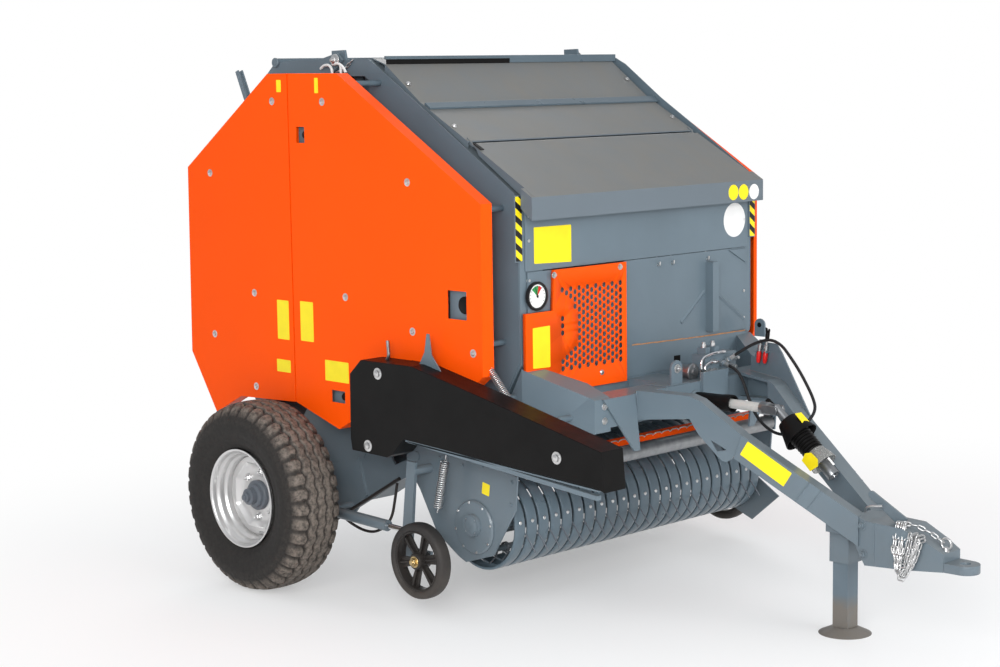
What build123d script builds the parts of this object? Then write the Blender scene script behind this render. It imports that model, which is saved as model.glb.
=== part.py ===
from build123d import *
import os
from math import cos, pi, radians, sin, tan

# Round baler, drawn in millimetres: X forward, Y to the left, Z up.
# It is drawn round its wheel axle, at X 0 and AXLE_Z. The last step centres it
# along X and stands it on its tyres.

# Running gear
TYRE_OD = 825
TYRE_WIDTH = 270
RIM_RADIUS = 214
RIM_WIDTH = 236
AXLE_Z = 422.5
AXLE_TUBE = 110
HUB_RADIUS = 62
STUB_R = 25
WHEEL_GAP = 20

# Body
CHAMBER_WIDTH = 1210
WALL = 6
RIM_HEIGHT = 126
RIB_DEPTH = 70
WRAP_INSET = 30
PANEL_STAND_RIGHT = 213
PANEL_STAND_LEFT = 113
FLANGE_RIGHT = 62
FLANGE_LEFT = 22
SHEET = 4
SEAM_X = 60
SEAM_GAP = 8
WALL_SEAM = 95
WALL_SEAM_GAP = 10
ROOF_Z = 2300
FRONT_X = 1231
LEFT_FRONT_SETBACK = 48
LID_SHEET = 5
LID_SIDE_GAP = 22
SLAT_R = 15
SLAT_RING = 690
CHAMBER_CENTRE = (95, 1400)

# Tailgate pivot and its two cylinders
GATE_PIVOT = (160, ROOF_Z - 10)
GATE_PIN_R = 16
GATE_CYL_BASE = (200, 960)
GATE_CYL_EYE = (-120, 1800)
GATE_CYL_STAND = 53
GATE_BARREL_R = 32
GATE_ROD_R = 18

# Pickup
PICKUP_PIVOT = (700, 640)
PICKUP_PIN_R = 21
REEL = (1050, 400)
BAND_R = 195
BAND_T = 4
BAND_COUNT = 23
BAND_WIDTH = 50
BAND_EDGE = 65.5
TINE_BAR_R = 120
TINE_TIP_R = 250
TINE_R = 2.6
PLATE_STAND = 93
PLATE_T = 8
LIFT_BASE = (180, 345)
LIFT_EYE = (700, 330)
LIFT_STAND = 60
GAUGE_WHEEL = (884, 251)
GAUGE_STAND = 155
GAUGE_WHEEL_R = 158
GAUGE_WHEEL_W = 64
GAUGE_PIN_R = 12
ROLLER = (1375, 655)
ROLLER_R = 34
ROLLER_PIN_R = 12

# Drawbar
BEAM_X = (1400, 1520)
BEAM_Z = (815, 935)
BEAM_HALF = 617
LEG_NOSE_X = 2420
LEG_NOSE_Y = 90
LEG_SPREAD = 0.310
LEG_WIDTH = 70
NOSE_HALF = 85
JACK_X = 2287
JACK_TUBE = 70
JACK_DISH_R = 105
JACK_LEG_TOP = 395
HITCH = (2830, 362.5)
HITCH_HOLE_R = 20
HITCH_PLATE = 35

# Power take-off
PTO_BACK = (1520, 866)
PTO_JOINT = (1955, 866)
PTO_TIP = (2202, 656)
PTO_BORE_R = 17.5
PTO_TUBE_R = 20
VALVE_X = (1405, 1475)
HOSE_R = 6.5
HOSE_PORT_R = 11

# Worked out from the sizes above
CHAMBER_HALF = CHAMBER_WIDTH / 2
FRAME_HALF = CHAMBER_HALF + WALL + RIM_HEIGHT
PANEL_RIGHT = FRAME_HALF + PANEL_STAND_RIGHT
PANEL_LEFT = FRAME_HALF + PANEL_STAND_LEFT
TRACK = 2 * (PANEL_RIGHT + WHEEL_GAP) + TYRE_WIDTH
GATE_CYL_Y = FRAME_HALF + GATE_CYL_STAND
PLATE_Y = FRAME_HALF + PLATE_STAND
BAND_PITCH = 2 * (PLATE_Y - BAND_EDGE) / (BAND_COUNT - 1)
LIFT_CYL_Y = PLATE_Y + LIFT_STAND
GAUGE_WHEEL_Y = PLATE_Y + GAUGE_STAND
LID_HALF = FRAME_HALF - LID_SIDE_GAP
LID_HINGE = (935, ROOF_Z - 365)
BOX_Z = (ROOF_Z - 862, ROOF_Z - 585)
GROUND = AXLE_Z - TYRE_OD / 2
JACK_HALF = JACK_TUBE / 2

RUN = 0.4
PIECES = {}


def outline_xz(points, y0, y1):
    """Solid from an outline in the XZ plane, from y0 to y1."""
    wire = Wire.make_polygon([Vector(x, y0, z) for x, z in points], close=True)
    return Solid.extrude(Face(wire), Vector(0, y1 - y0, 0))


def outline_xy(points, z0, z1):
    """Solid from an outline in the XY plane, from z0 to z1."""
    wire = Wire.make_polygon([Vector(x, y, z0) for x, y in points], close=True)
    return Solid.extrude(Face(wire), Vector(0, 0, z1 - z0))


def outline_yz(points, x0, x1):
    """Solid from an outline in the YZ plane, from x0 to x1."""
    wire = Wire.make_polygon([Vector(x0, y, z) for y, z in points], close=True)
    return Solid.extrude(Face(wire), Vector(x1 - x0, 0, 0))


def folded_sheet(points, thickness, y0, y1):
    """Folded sheet whose upper face runs through the points."""
    return outline_xz(points + [(x, z - thickness) for x, z in reversed(points)], y0, y1)


def block(x, y, z):
    """Box from three (low, high) pairs."""
    size = [b - a for a, b in (x, y, z)]
    middle = [(a + b) / 2 for a, b in (x, y, z)]
    return Pos(*middle) * Box(*size)


def bar_y(x, z, r, y0, y1):
    """Round bar along Y."""
    return Pos(x, (y0 + y1) / 2, z) * Rot(90, 0, 0) * Cylinder(r, abs(y1 - y0))


def rod(p, q, r):
    """Round bar between two points."""
    start = Vector(*p)
    run = Vector(*q) - start
    bottom = (Align.CENTER, Align.CENTER, Align.MIN)
    return Plane(origin=start, z_dir=run) * Cylinder(r, run.length, align=bottom)


def cone_between(p, q, r0, r1):
    """Round taper between two points."""
    start = Vector(*p)
    run = Vector(*q) - start
    bottom = (Align.CENTER, Align.CENTER, Align.MIN)
    return Plane(origin=start, z_dir=run) * Cone(r0, r1, run.length, align=bottom)


def beam(p, q, width, height):
    """Rectangular bar between two points, its width level."""
    start = Vector(*p)
    run = Vector(*q) - start
    side = Vector(0, 0, 1).cross(run)
    bottom = (Align.CENTER, Align.CENTER, Align.MIN)
    return Plane(origin=start, x_dir=side, z_dir=run) * Box(width, height, run.length, align=bottom)


def left_of(shape):
    """The same piece on the left side."""
    return mirror(shape, Plane.XZ)


def both(name, shape):
    """A piece on each side."""
    PIECES[name + "_right"] = shape
    PIECES[name + "_left"] = left_of(shape)


def inset(points, amount):
    """Outline moved inwards by an amount."""
    wire = Wire.make_polygon([Vector(x, 0, z) for x, z in points], close=True)
    inner = wire.offset_2d(-amount, kind=Kind.INTERSECTION)
    return [(v.X, v.Z) for v in (edge @ 0 for edge in inner.order_edges())]


def on_circle(centre, r, degrees):
    """Point (x, z) on a circle."""
    a = radians(degrees)
    return (centre[0] + r * cos(a), centre[1] + r * sin(a))


# Body outlines, as (x, z)
FRONT_PANEL = [(SEAM_X + SEAM_GAP / 2, ROOF_Z - 64), (384, ROOF_Z - 66), (FRONT_X, ROOF_Z - 579), (FRONT_X, 1040),
               (FRONT_X - 71, 985), (430, 772), (347, 729), (SEAM_X + SEAM_GAP / 2, 816)]
REAR_PANEL = [(SEAM_X - SEAM_GAP / 2, ROOF_Z - 64), (-75, ROOF_Z - 64), (-674, ROOF_Z - 480), (-689, 975),
              (-515, 708), (-330, 800), (SEAM_X - SEAM_GAP / 2, 816)]
WALL_FRONT = WALL_SEAM + WALL_SEAM_GAP / 2
WALL_REAR = WALL_SEAM - WALL_SEAM_GAP / 2
FRONT_WALL = [(WALL_FRONT, ROOF_Z - 10), (345, ROOF_Z - 10), (369, ROOF_Z - 30), (FRONT_X, ROOF_Z - 578),
              (FRONT_X, 1060), (1100, 850), (860, 725), (760, 612), (500, 497), (300, 380), (WALL_FRONT, 380)]
REAR_WALL = [(WALL_REAR, ROOF_Z - 110), (45, ROOF_Z - 6), (-130, ROOF_Z - 6), (-286, ROOF_Z - 16),
             (-345, ROOF_Z - 66), (-650, ROOF_Z - 500), (-662, 990), (-470, 690), (-40, 560), (WALL_REAR, 590)]


def ribbed_wall(points, y_in, y_out, rib):
    """Side wall with a raised rim that runs round its outline."""
    wall = outline_xz(points, y_in, y_in - WALL)
    rim = outline_xz(points, y_in - WALL, y_out) - outline_xz(inset(points, rib), y_in - WALL, y_out)
    return wall + rim


def gate_cylinder_pin():
    """Boss and pin on the side frame that carry the tailgate cylinder's lower eye."""
    bx, bz = GATE_CYL_BASE
    boss = bar_y(bx, bz, 50, -FRAME_HALF, -CHAMBER_HALF - WALL)
    return boss + bar_y(bx, bz, 16, -GATE_CYL_Y - 22, -FRAME_HALF + 20)


def side_frames():
    wall = ribbed_wall(FRONT_WALL, -CHAMBER_HALF, -FRAME_HALF, RIB_DEPTH)
    saddle = outline_xz([(-75, 340), (110, 275), (500, 497), (400, 640), (WALL_FRONT, 560), (-75, 500)],
                        -FRAME_HALF, -FRAME_HALF + 12)
    tube = AXLE_TUBE / 2
    saddle -= block((-tube, tube), (-FRAME_HALF - 1, -FRAME_HALF + 20), (AXLE_Z - tube, AXLE_Z + tube))
    px, pz = GATE_PIVOT
    fin = outline_xz([(px - 50, pz - 80), (px + 60, pz - 80), (px + 30, pz + 42), (px - 54, pz + 40)],
                     -FRAME_HALF, -FRAME_HALF + 12)
    pin = bar_y(px, pz, GATE_PIN_R, -FRAME_HALF, -FRAME_HALF - 26)
    pickup_pin = bar_y(*PICKUP_PIVOT, PICKUP_PIN_R, -PLATE_Y - 6, -FRAME_HALF)
    both("side_frame", wall + saddle + fin + pin + pickup_pin + gate_cylinder_pin())


def elevator(name, angles):
    """Slats of the bale chamber, each from wall to wall."""
    slats = [bar_y(*on_circle(CHAMBER_CENTRE, SLAT_RING, a), SLAT_R, -CHAMBER_HALF, CHAMBER_HALF) for a in angles]
    PIECES[name] = Compound(slats)


def tailgate():
    side = ribbed_wall(REAR_WALL, -CHAMBER_HALF, -FRAME_HALF, RIB_DEPTH)
    px, pz = GATE_PIVOT
    arm_y = -FRAME_HALF - 18
    arm = outline_xz([(-30, pz - 150), (px, pz - 34), (px + 34, pz), (px, pz + 30), (-60, pz - 20)], arm_y, arm_y + 12)
    arm += outline_xz([(-20, pz - 130), (30, pz - 90), (10, pz - 50), (-50, pz - 50)], arm_y + 12, -FRAME_HALF)
    skin_line = inset(REAR_WALL, WRAP_INSET)
    wrap = outline_xz(skin_line, -CHAMBER_HALF - 2, CHAMBER_HALF + 2)
    wrap -= outline_xz(inset(skin_line, WALL), -CHAMBER_HALF - 3, CHAMBER_HALF + 3)
    wrap -= block((20, 400), (-CHAMBER_HALF - 4, CHAMBER_HALF + 4), (600, ROOF_Z - 60))
    top_bar = bar_y(-262, ROOF_Z - 38, 20, -FRAME_HALF + 1, FRAME_HALF - 1)
    pad = bar_y(*GATE_CYL_EYE, 60, -CHAMBER_HALF - WALL, -FRAME_HALF + 22)
    pin = bar_y(*GATE_CYL_EYE, 20, -FRAME_HALF + 30, -GATE_CYL_Y + 25)
    hole = bar_y(px, pz, GATE_PIN_R + RUN, -FRAME_HALF + 40, -FRAME_HALF - 60)
    half = side + pad + pin + (arm - hole)
    PIECES["tailgate"] = wrap + half + left_of(half) + top_bar
    elevator("elevator_rear", range(105, 256, 15))


def flanged_panel(points, y, flange):
    """Outer sheet at y with a flange that turns in round its edge."""
    tray = outline_xz(points, y, y + flange)
    return tray - outline_xz(inset(points, SHEET), y + SHEET, y + flange)


# Square windows in the right front panel, as (x0, x1, z0, z1)
WINDOWS = [(110, 166, 1942, 2010), (1035, 1144, 1258, 1372), (303, 391, 843, 895)]
FRONT_STUDS = [(420, ROOF_Z - 110), (FRONT_X - 91, ROOF_Z - 610), (FRONT_X - 91, 1150)]
REAR_STUDS = [(-150, ROOF_Z - 180), (-610, ROOF_Z - 550), (-610, 1050)]


def panel_studs(places, y):
    return [bar_y(x, z, 12, y + SHEET, -FRAME_HALF) for x, z in places]


def panels():
    front = flanged_panel(FRONT_PANEL, -PANEL_RIGHT, FLANGE_RIGHT)
    for x0, x1, z0, z1 in WINDOWS:
        front -= block((x0, x1), (-PANEL_RIGHT - 1, -PANEL_RIGHT + 20), (z0, z1))
    PIECES["panel_front_right"] = front + panel_studs(FRONT_STUDS, -PANEL_RIGHT)
    rear = flanged_panel(REAR_PANEL, -PANEL_RIGHT, FLANGE_RIGHT)
    PIECES["panel_rear_right"] = rear + panel_studs(REAR_STUDS, -PANEL_RIGHT)
    set_back = [(min(x, FRONT_X - LEFT_FRONT_SETBACK), z) for x, z in FRONT_PANEL]
    set_back[2] = (FRONT_X - LEFT_FRONT_SETBACK, ROOF_Z - 550)
    front = flanged_panel(set_back, -PANEL_LEFT, FLANGE_LEFT) + panel_studs(FRONT_STUDS, -PANEL_LEFT)
    PIECES["panel_front_left"] = left_of(front)
    rear = flanged_panel(REAR_PANEL, -PANEL_LEFT, FLANGE_LEFT) + panel_studs(REAR_STUDS, -PANEL_LEFT)
    PIECES["panel_rear_left"] = left_of(rear)


def roof_and_lid():
    """Fixed cover over the chamber's front half, and the twine box lid hinged at its lower edge."""
    cover_line = [(345, ROOF_Z - 4), (425, ROOF_Z - 30), (640, ROOF_Z - 190), (LID_HINGE[0] - 14, ROOF_Z - 347)]
    cover = folded_sheet(cover_line, LID_SHEET, -LID_HALF, LID_HALF)
    flat = folded_sheet([(205, ROOF_Z - 4), (347, ROOF_Z - 4)], LID_SHEET, -LID_HALF, LID_HALF)
    low = ROOF_Z - 347 - LID_SHEET
    cheek = outline_xz([(425, ROOF_Z - 34), (640, ROOF_Z - 194), (LID_HINGE[0] - 14, low),
                        (LID_HINGE[0] - 14, low - 26), (640, ROOF_Z - 201), (425, ROOF_Z - 64.8)],
                       -LID_HALF, -LID_HALF + LID_SHEET)
    seat = block((210, 330), (-LID_HALF, -LID_HALF + 40), (ROOF_Z - 10, ROOF_Z - 4 - LID_SHEET))
    hx, hz = LID_HINGE
    lug = outline_xz([(hx - 30, low + 20), (hx - 6, low), (hx + 6, hz), (hx, hz - 7), (hx - 30, low + 4)],
                     -LID_HALF + 12, -LID_HALF + 20)
    pin = bar_y(hx, hz, 5, -LID_HALF + 12, LID_HALF - 12)
    half = cheek + seat + lug
    PIECES["roof"] = cover + flat + half + left_of(half) + pin
    lip_z = (ROOF_Z - 654, ROOF_Z - 562)
    lip_x = 1304
    skin = folded_sheet([(hx + 11, ROOF_Z - 359), (lip_x, lip_z[1])], LID_SHEET, -LID_HALF, LID_HALF)
    lip = outline_xz([(lip_x - 60, lip_z[1] + 34), (lip_x, lip_z[1]), (lip_x, lip_z[0]), (lip_x - LID_SHEET, lip_z[0]),
                      (lip_x - LID_SHEET, lip_z[1] - 3), (lip_x - 60, lip_z[1] + 34 - LID_SHEET)],
                     -FRAME_HALF - 1, FRAME_HALF + 1)
    end = outline_xz([(FRONT_X + 12, lip_z[1] + 34), (lip_x - 1, lip_z[1]), (lip_x - 1, lip_z[0]),
                      (FRONT_X + 12, lip_z[0] + 46)], -FRAME_HALF - 1, -FRAME_HALF - 1 + LID_SHEET)
    cheek = outline_xz([(hx + 30, ROOF_Z - 371), (FRONT_X + 40, lip_z[1] + 15), (FRONT_X + 20, lip_z[1] - 16),
                        (hx + 50, ROOF_Z - 405)], -LID_HALF, -LID_HALF + LID_SHEET)
    tube = bar_y(hx, hz, 9, -LID_HALF + 24, LID_HALF - 24)
    leaf = outline_xz([(hx, hz + 8.5), (hx + 12, ROOF_Z - 359), (hx + 30, ROOF_Z - 372), (hx + 3, hz + 2)],
                      -LID_HALF + 24, LID_HALF - 24)
    half = end + cheek
    PIECES["lid"] = skin + lip + half + left_of(half) + tube + leaf - bar_y(hx, hz, 5 + RUN, -FRAME_HALF, FRAME_HALF)


def front_end():
    """Twine box, plate under it and its rib."""
    box_half = FRAME_HALF - 28
    front = outline_xz([(FRONT_X, BOX_Z[1]), (FRONT_X + 6, BOX_Z[1]), (FRONT_X + 6, BOX_Z[0]), (FRONT_X, BOX_Z[0])],
                       -box_half, box_half)
    tray = outline_xz([(FRONT_X, BOX_Z[0] + 6), (FRONT_X, BOX_Z[0]), (FRONT_X - 331, BOX_Z[0]),
                       (FRONT_X - 440, BOX_Z[1] - 40), (FRONT_X - 435, BOX_Z[1] - 37), (FRONT_X - 328, BOX_Z[0] + 6)],
                      -CHAMBER_HALF, CHAMBER_HALF)
    PIECES["twine_box"] = front + tray
    plate_z = (860, BOX_Z[0] - 2)
    left = CHAMBER_HALF + 95
    plate = block((FRONT_X, FRONT_X + 4), (-120, left), plate_z)
    plate -= block((FRONT_X - 9, FRONT_X + 9), (left - 100, left + 1), (plate_z[0] - 1, 1066))
    plate -= block((FRONT_X - 9, FRONT_X + 9), (214, 238), (962, 986))
    PIECES["front_plate"] = plate + block((FRONT_X + 4, FRONT_X + 44), (422, 463), (1082, 1390))


def grille():
    """Perforated guard on the front, with a half-round field beside its holes, and the bale size gauge."""
    y0, y1, z0, z1 = -730, -125, 955, BOX_Z[0] - 2
    guard_x = FRONT_X + 24
    sheet = outline_yz([(y0, 1270), (-572, 1270), (-562, z1), (y1, z1), (y1, z0), (-509, z0 - 12), (-640, 1064),
                        (y0, 1070)], guard_x - SHEET, guard_x)
    pitch = 30
    hole_r = 10
    first = (-500, 1010)
    holes = []
    for row in range(int((z1 - first[1] - 46) / pitch) + 1):
        for column in range(13):
            y = first[0] + column * pitch + (row % 2) * pitch / 2
            z = first[1] + row * pitch
            if (y + 540) ** 2 + (z - 1190) ** 2 > 150 ** 2 and y < -150:
                holes.append(Pos(guard_x, y, z) * Rot(0, 90, 0) * Cylinder(hole_r, 20))
    rim = block((FRONT_X + 4, guard_x), (y1 - SHEET, y1), (z0, z1))
    rim += block((FRONT_X, guard_x), (y0, y0 + SHEET), (1070, 1270))
    PIECES["front_guard"] = sheet - holes + rim
    PIECES["bale_gauge"] = Pos(FRONT_X + 20, -640, 1335) * Rot(0, 90, 0) * Cylinder(48, 40)


def tyre_section():
    half = TYRE_WIDTH / 2
    r = TYRE_OD / 2
    seat = RIM_WIDTH / 2 - 20
    bead = RIM_RADIUS - 12
    side = [(bead, seat), (RIM_RADIUS + 3, seat), (RIM_RADIUS + 3, half - 22), (bead + 40, half - 8),
            (r - 105, half), (r - 42, half - 13), (r - 12, half - 42), (r, half - 88)]
    return [(a, -b) for a, b in side] + list(reversed(side))


def rim_section():
    """Rim barrel, flanges and dish, as (radius, y) with y to the axle."""
    outer = -RIM_WIDTH / 2
    bead = RIM_RADIUS - 12
    well = bead - 10
    return [(RIM_RADIUS, outer), (RIM_RADIUS, outer + 14), (bead - 1, outer + 16), (bead - 1, -outer - 16),
            (RIM_RADIUS, -outer - 14), (RIM_RADIUS, -outer), (well, -outer - 20), (well, 10),
            (72, -12), (HUB_RADIUS + 2, -12), (HUB_RADIUS + 2, -26), (76, -26), (bead - 22, -6), (well, outer + 22)]


def turned(section, centre_y):
    """Solid of revolution about the wheel axis."""
    with BuildSketch(Plane.XY) as sketch:
        with BuildLine():
            Polyline(*section, close=True)
        make_face()
    return Pos(0, centre_y, AXLE_Z) * revolve(sketch.sketch, Axis.Y)


def running_gear():
    centre_y = -TRACK / 2
    hub = bar_y(0, AXLE_Z, HUB_RADIUS + 3, centre_y - 40, centre_y + 60)
    hub += bar_y(0, AXLE_Z, 38, centre_y - 75, centre_y - 40)
    bore = bar_y(0, AXLE_Z, STUB_R + RUN, centre_y - 30, centre_y + 70)
    both("tyre", turned(tyre_section(), centre_y))
    both("rim", turned(rim_section(), centre_y) + hub - bore)
    tube = AXLE_TUBE / 2
    axle = block((-tube, tube), (-FRAME_HALF, FRAME_HALF), (AXLE_Z - tube, AXLE_Z + tube))
    stub = bar_y(0, AXLE_Z, STUB_R, centre_y - 28, -FRAME_HALF)
    step = bar_y(0, AXLE_Z, 42, centre_y + 64, -FRAME_HALF)
    bracket = outline_xz([(-72, 350), (110, 285), (200, 310), (280, 400), (230, 560), (WALL_FRONT, 520), (-72, 490)],
                         -FRAME_HALF - 12, -FRAME_HALF)
    lift_pin = bar_y(*LIFT_BASE, 12, -LIFT_CYL_Y - 16, -FRAME_HALF - 6)
    half = stub + step + bracket
    PIECES["axle"] = axle + half + left_of(half) + lift_pin


def cylinder_pair(base, eye, y, barrel_r, rod_r, pin_r, bottom, overlap):
    """Barrel and rod of a hydraulic cylinder; the rod's tail stays bottom above the base pin."""
    start = Vector(base[0], y, base[1])
    end = Vector(eye[0], y, eye[1])
    unit = (end - start).normalized()
    length = (end - start).length
    barrel = rod(start + unit * (barrel_r - 6), start + unit * (bottom + overlap), barrel_r)
    barrel += bar_y(base[0], base[1], barrel_r, y - 16, y + 16)
    barrel -= bar_y(base[0], base[1], pin_r + RUN, y - 30, y + 30)
    barrel -= rod(start + unit * (barrel_r + pin_r + 8), start + unit * length, rod_r + RUN)
    eye_r = pin_r + 12
    ram = rod(start + unit * bottom, end - unit * (eye_r - 6), rod_r)
    ram += bar_y(eye[0], eye[1], eye_r, y - 13, y + 13)
    ram -= bar_y(eye[0], eye[1], pin_r + 4, y - 30, y + 30)
    return barrel, ram


def cylinders():
    barrel, ram = cylinder_pair(GATE_CYL_BASE, GATE_CYL_EYE, -GATE_CYL_Y, GATE_BARREL_R, GATE_ROD_R, 16, 100, 640)
    ram_eye = bar_y(*GATE_CYL_EYE, 24, -GATE_CYL_Y - 30, -GATE_CYL_Y + 30)
    ring = bar_y(*GATE_CYL_EYE, 36, -GATE_CYL_Y - 13, -GATE_CYL_Y + 13)
    both("gate_barrel", barrel)
    both("gate_rod", ram + ring - ram_eye)
    barrel, ram = cylinder_pair(LIFT_BASE, LIFT_EYE, -LIFT_CYL_Y, 24, 12, 12, 130, 270)
    PIECES["lift_barrel"] = barrel
    PIECES["lift_rod"] = ram


def band_outline():
    """Stripper band: round the front of the reel and back to the chamber."""
    first, last, steps = -115, 100, 14
    angles = [first + (last - first) * i / steps for i in range(steps + 1)]
    out = [on_circle(REEL, BAND_R, a) for a in angles]
    back = [on_circle(REEL, BAND_R - BAND_T, a) for a in reversed(angles)]
    tail_z = REEL[1] + 240
    return out + [(REEL[0] - 200, tail_z), (REEL[0] - 200, tail_z - BAND_T)] + back


# Tine bars: angle of the bar, angle of the tine tips, radius of the tips
TINE_BARS = [(-62, -47, TINE_TIP_R), (28, 50, BAND_R - 12), (118, 136, BAND_R - 12), (208, 214, TINE_TIP_R - 20)]


def tine_reel():
    """Shaft, spiders and the four bars with their sprung tines, one between each pair of bands."""
    cx, cz = REEL
    drum_half = PLATE_Y - 40
    pieces = [bar_y(cx, cz, 20, -PLATE_Y - 24, PLATE_Y + 24), bar_y(cx, cz, 60, -drum_half, drum_half)]
    bar_half = drum_half - 10
    first = -BAND_PITCH * (BAND_COUNT - 2) / 2
    for bar_angle, tip_angle, tip_r in TINE_BARS:
        bar = on_circle(REEL, TINE_BAR_R, bar_angle)
        tip = on_circle(REEL, tip_r, tip_angle)
        pieces.append(bar_y(*bar, 13, -bar_half, bar_half))
        for y in (-bar_half, -bar_half / 3, bar_half / 3, bar_half):
            pieces.append(beam((cx, y, cz), (bar[0], y, bar[1]), 12, 34))
        for i in range(BAND_COUNT - 1):
            y = first + BAND_PITCH * i
            pieces.append(bar_y(*bar, 19, y - 16, y - 4))
            pieces.append(rod((bar[0], y - 8, bar[1]), (tip[0], y, tip[1]), TINE_R))
    PIECES["pickup_reel"] = pieces[0] + pieces[1:]


def gauge_wheel():
    """Spoked gauge wheel with a flat tread."""
    x, z = GAUGE_WHEEL
    y = -GAUGE_WHEEL_Y
    half = GAUGE_WHEEL_W / 2
    tread = bar_y(x, z, GAUGE_WHEEL_R, y - half + 8, y + half - 8) - bar_y(x, z, GAUGE_WHEEL_R - 32, y - 50, y + 50)
    tread += bar_y(x, z, GAUGE_WHEEL_R - 9, y - half, y + half) - bar_y(x, z, GAUGE_WHEEL_R - 32, y - 50, y + 50)
    wheel = tread + bar_y(x, z, 34, y - half - 6, y + half)
    for i in range(6):
        ex, ez = on_circle(GAUGE_WHEEL, GAUGE_WHEEL_R - 24, 60 * i + 12)
        wheel += beam((x, y, z), (ex, y, ez), 26, 20)
    wheel -= bar_y(x, z, GAUGE_PIN_R + RUN, y - 90, y + 90)
    both("gauge_wheel", wheel)


def pickup():
    cx, cz = REEL
    plate_in = -PLATE_Y + PLATE_T
    plate = outline_xz([(640, 690), (760, 700), (1000, 665), (1294, 630), (1282, 493), (cx + 100, 285), (991, 233),
                        (950, 250), (820, 330), (720, 500), (640, 600)], -PLATE_Y, plate_in)
    plate -= bar_y(cx, cz, 26, -PLATE_Y - 70, -PLATE_Y + 130)
    boss = bar_y(cx, cz, 45, -PLATE_Y - 30, plate_in)
    boss -= bar_y(cx, cz, 20 + RUN, -PLATE_Y - 70, -PLATE_Y + 130)
    pivot_hole = bar_y(*PICKUP_PIVOT, PICKUP_PIN_R + RUN, -PLATE_Y - 70, -FRAME_HALF)
    tube = bar_y(760, 560, 25, plate_in, -plate_in)
    gx, gz = GAUGE_WHEEL
    post_y = (-GAUGE_WHEEL_Y + 55, -GAUGE_WHEEL_Y + 70)
    post = outline_xz([(750, 640), (800, 640), (760, gz - 30), (700, gz - 30)], *post_y)
    cross = bar_y(780, 600, 20, post_y[0], -PLATE_Y)
    stem = beam((725, sum(post_y) / 2, gz), (gx, sum(post_y) / 2, gz), 14, 50)
    pin = bar_y(gx, gz, GAUGE_PIN_R, -GAUGE_WHEEL_Y - 50, post_y[1])
    half = plate + boss + post + cross + stem + pin - pivot_hole
    PIECES["pickup_frame"] = tube + half + left_of(half)
    first = -BAND_PITCH * (BAND_COUNT - 1) / 2
    bands = []
    for i in range(BAND_COUNT):
        y = first + BAND_PITCH * i
        bands.append(outline_xz(band_outline(), y - BAND_WIDTH / 2, y + BAND_WIDTH / 2))
    rail = bar_y(cx - 180, cz + 220, 20, plate_in, -plate_in)
    PIECES["pickup_bands"] = rail + bands
    roller_half = FRAME_HALF - 47
    PIECES["crop_roller"] = bar_y(*ROLLER, ROLLER_R, -roller_half, roller_half) + bar_y(
        *ROLLER, ROLLER_PIN_R, -roller_half - 16, roller_half + 16)


def main_frame():
    """Cross beam with its two arms, the hangers of the crop roller and two gussets."""
    cross = block(BEAM_X, (-BEAM_HALF, BEAM_HALF), BEAM_Z)
    arm_in = FRAME_HALF - 97
    plan = [(1150, -FRAME_HALF), (FRONT_X + 4, -FRAME_HALF), (BEAM_X[1], -BEAM_HALF), (BEAM_X[1], -BEAM_HALF + 92),
            (BEAM_X[0], -BEAM_HALF + 87), (FRONT_X, -arm_in), (1150, -arm_in)]
    profile = [(FRONT_X, 1046), (BEAM_X[1] - 20, 945), (BEAM_X[1], BEAM_Z[1]), (BEAM_X[1], 800), (BEAM_X[0], 775),
               (FRONT_X, 802)]
    arm = outline_xy(plan, 700, 1100) & outline_xz(profile, -FRAME_HALF - 10, 0)
    seat = outline_xz([(1150, 892), (FRONT_X + 4, 1046), (FRONT_X + 4, 802), (1130, 815)], -FRAME_HALF, -arm_in)
    gusset = outline_yz([(-BEAM_HALF + 40, BEAM_Z[1]), (-BEAM_HALF + 230, BEAM_Z[1]), (-BEAM_HALF + 262, 700),
                         (-BEAM_HALF + 228, 700)], BEAM_X[1], BEAM_X[1] + 10)
    hanger_y = -FRAME_HALF + 40
    rx, rz = ROLLER
    hanger = outline_xz([(rx - 45, 790), (rx + 40, 780), (rx + 28, rz - 30), (rx - 28, rz - 30)],
                        hanger_y - 8, hanger_y)
    hanger -= bar_y(rx, rz, ROLLER_PIN_R + RUN, hanger_y - 40, hanger_y + 40)
    shelf = block((rx - 45, rx + 40), (hanger_y - 8, hanger_y + 90), (780, 792))
    half = arm + seat + gusset + hanger + shelf
    PIECES["main_frame"] = cross + half + left_of(half)
    strip_half = FRAME_HALF - 57
    feed = block((1306, 1312), (-strip_half, strip_half), (657, 697))
    feed += block((1268, 1307), (-strip_half, strip_half), (691, 697))
    stay = block((1272, 1306), (-strip_half, -strip_half + 6), (696, 815))
    PIECES["feed_strip"] = (feed + stay + left_of(stay)) - PIECES["main_frame"]
    line = [(WALL_FRONT + 5, 597), (201, 551), (330, 526), (458, 538), (557, 586)]
    PIECES["chamber_floor"] = folded_sheet(line, 7, -CHAMBER_HALF, CHAMBER_HALF)
    elevator("elevator_front", range(-15, 76, 15))


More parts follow.
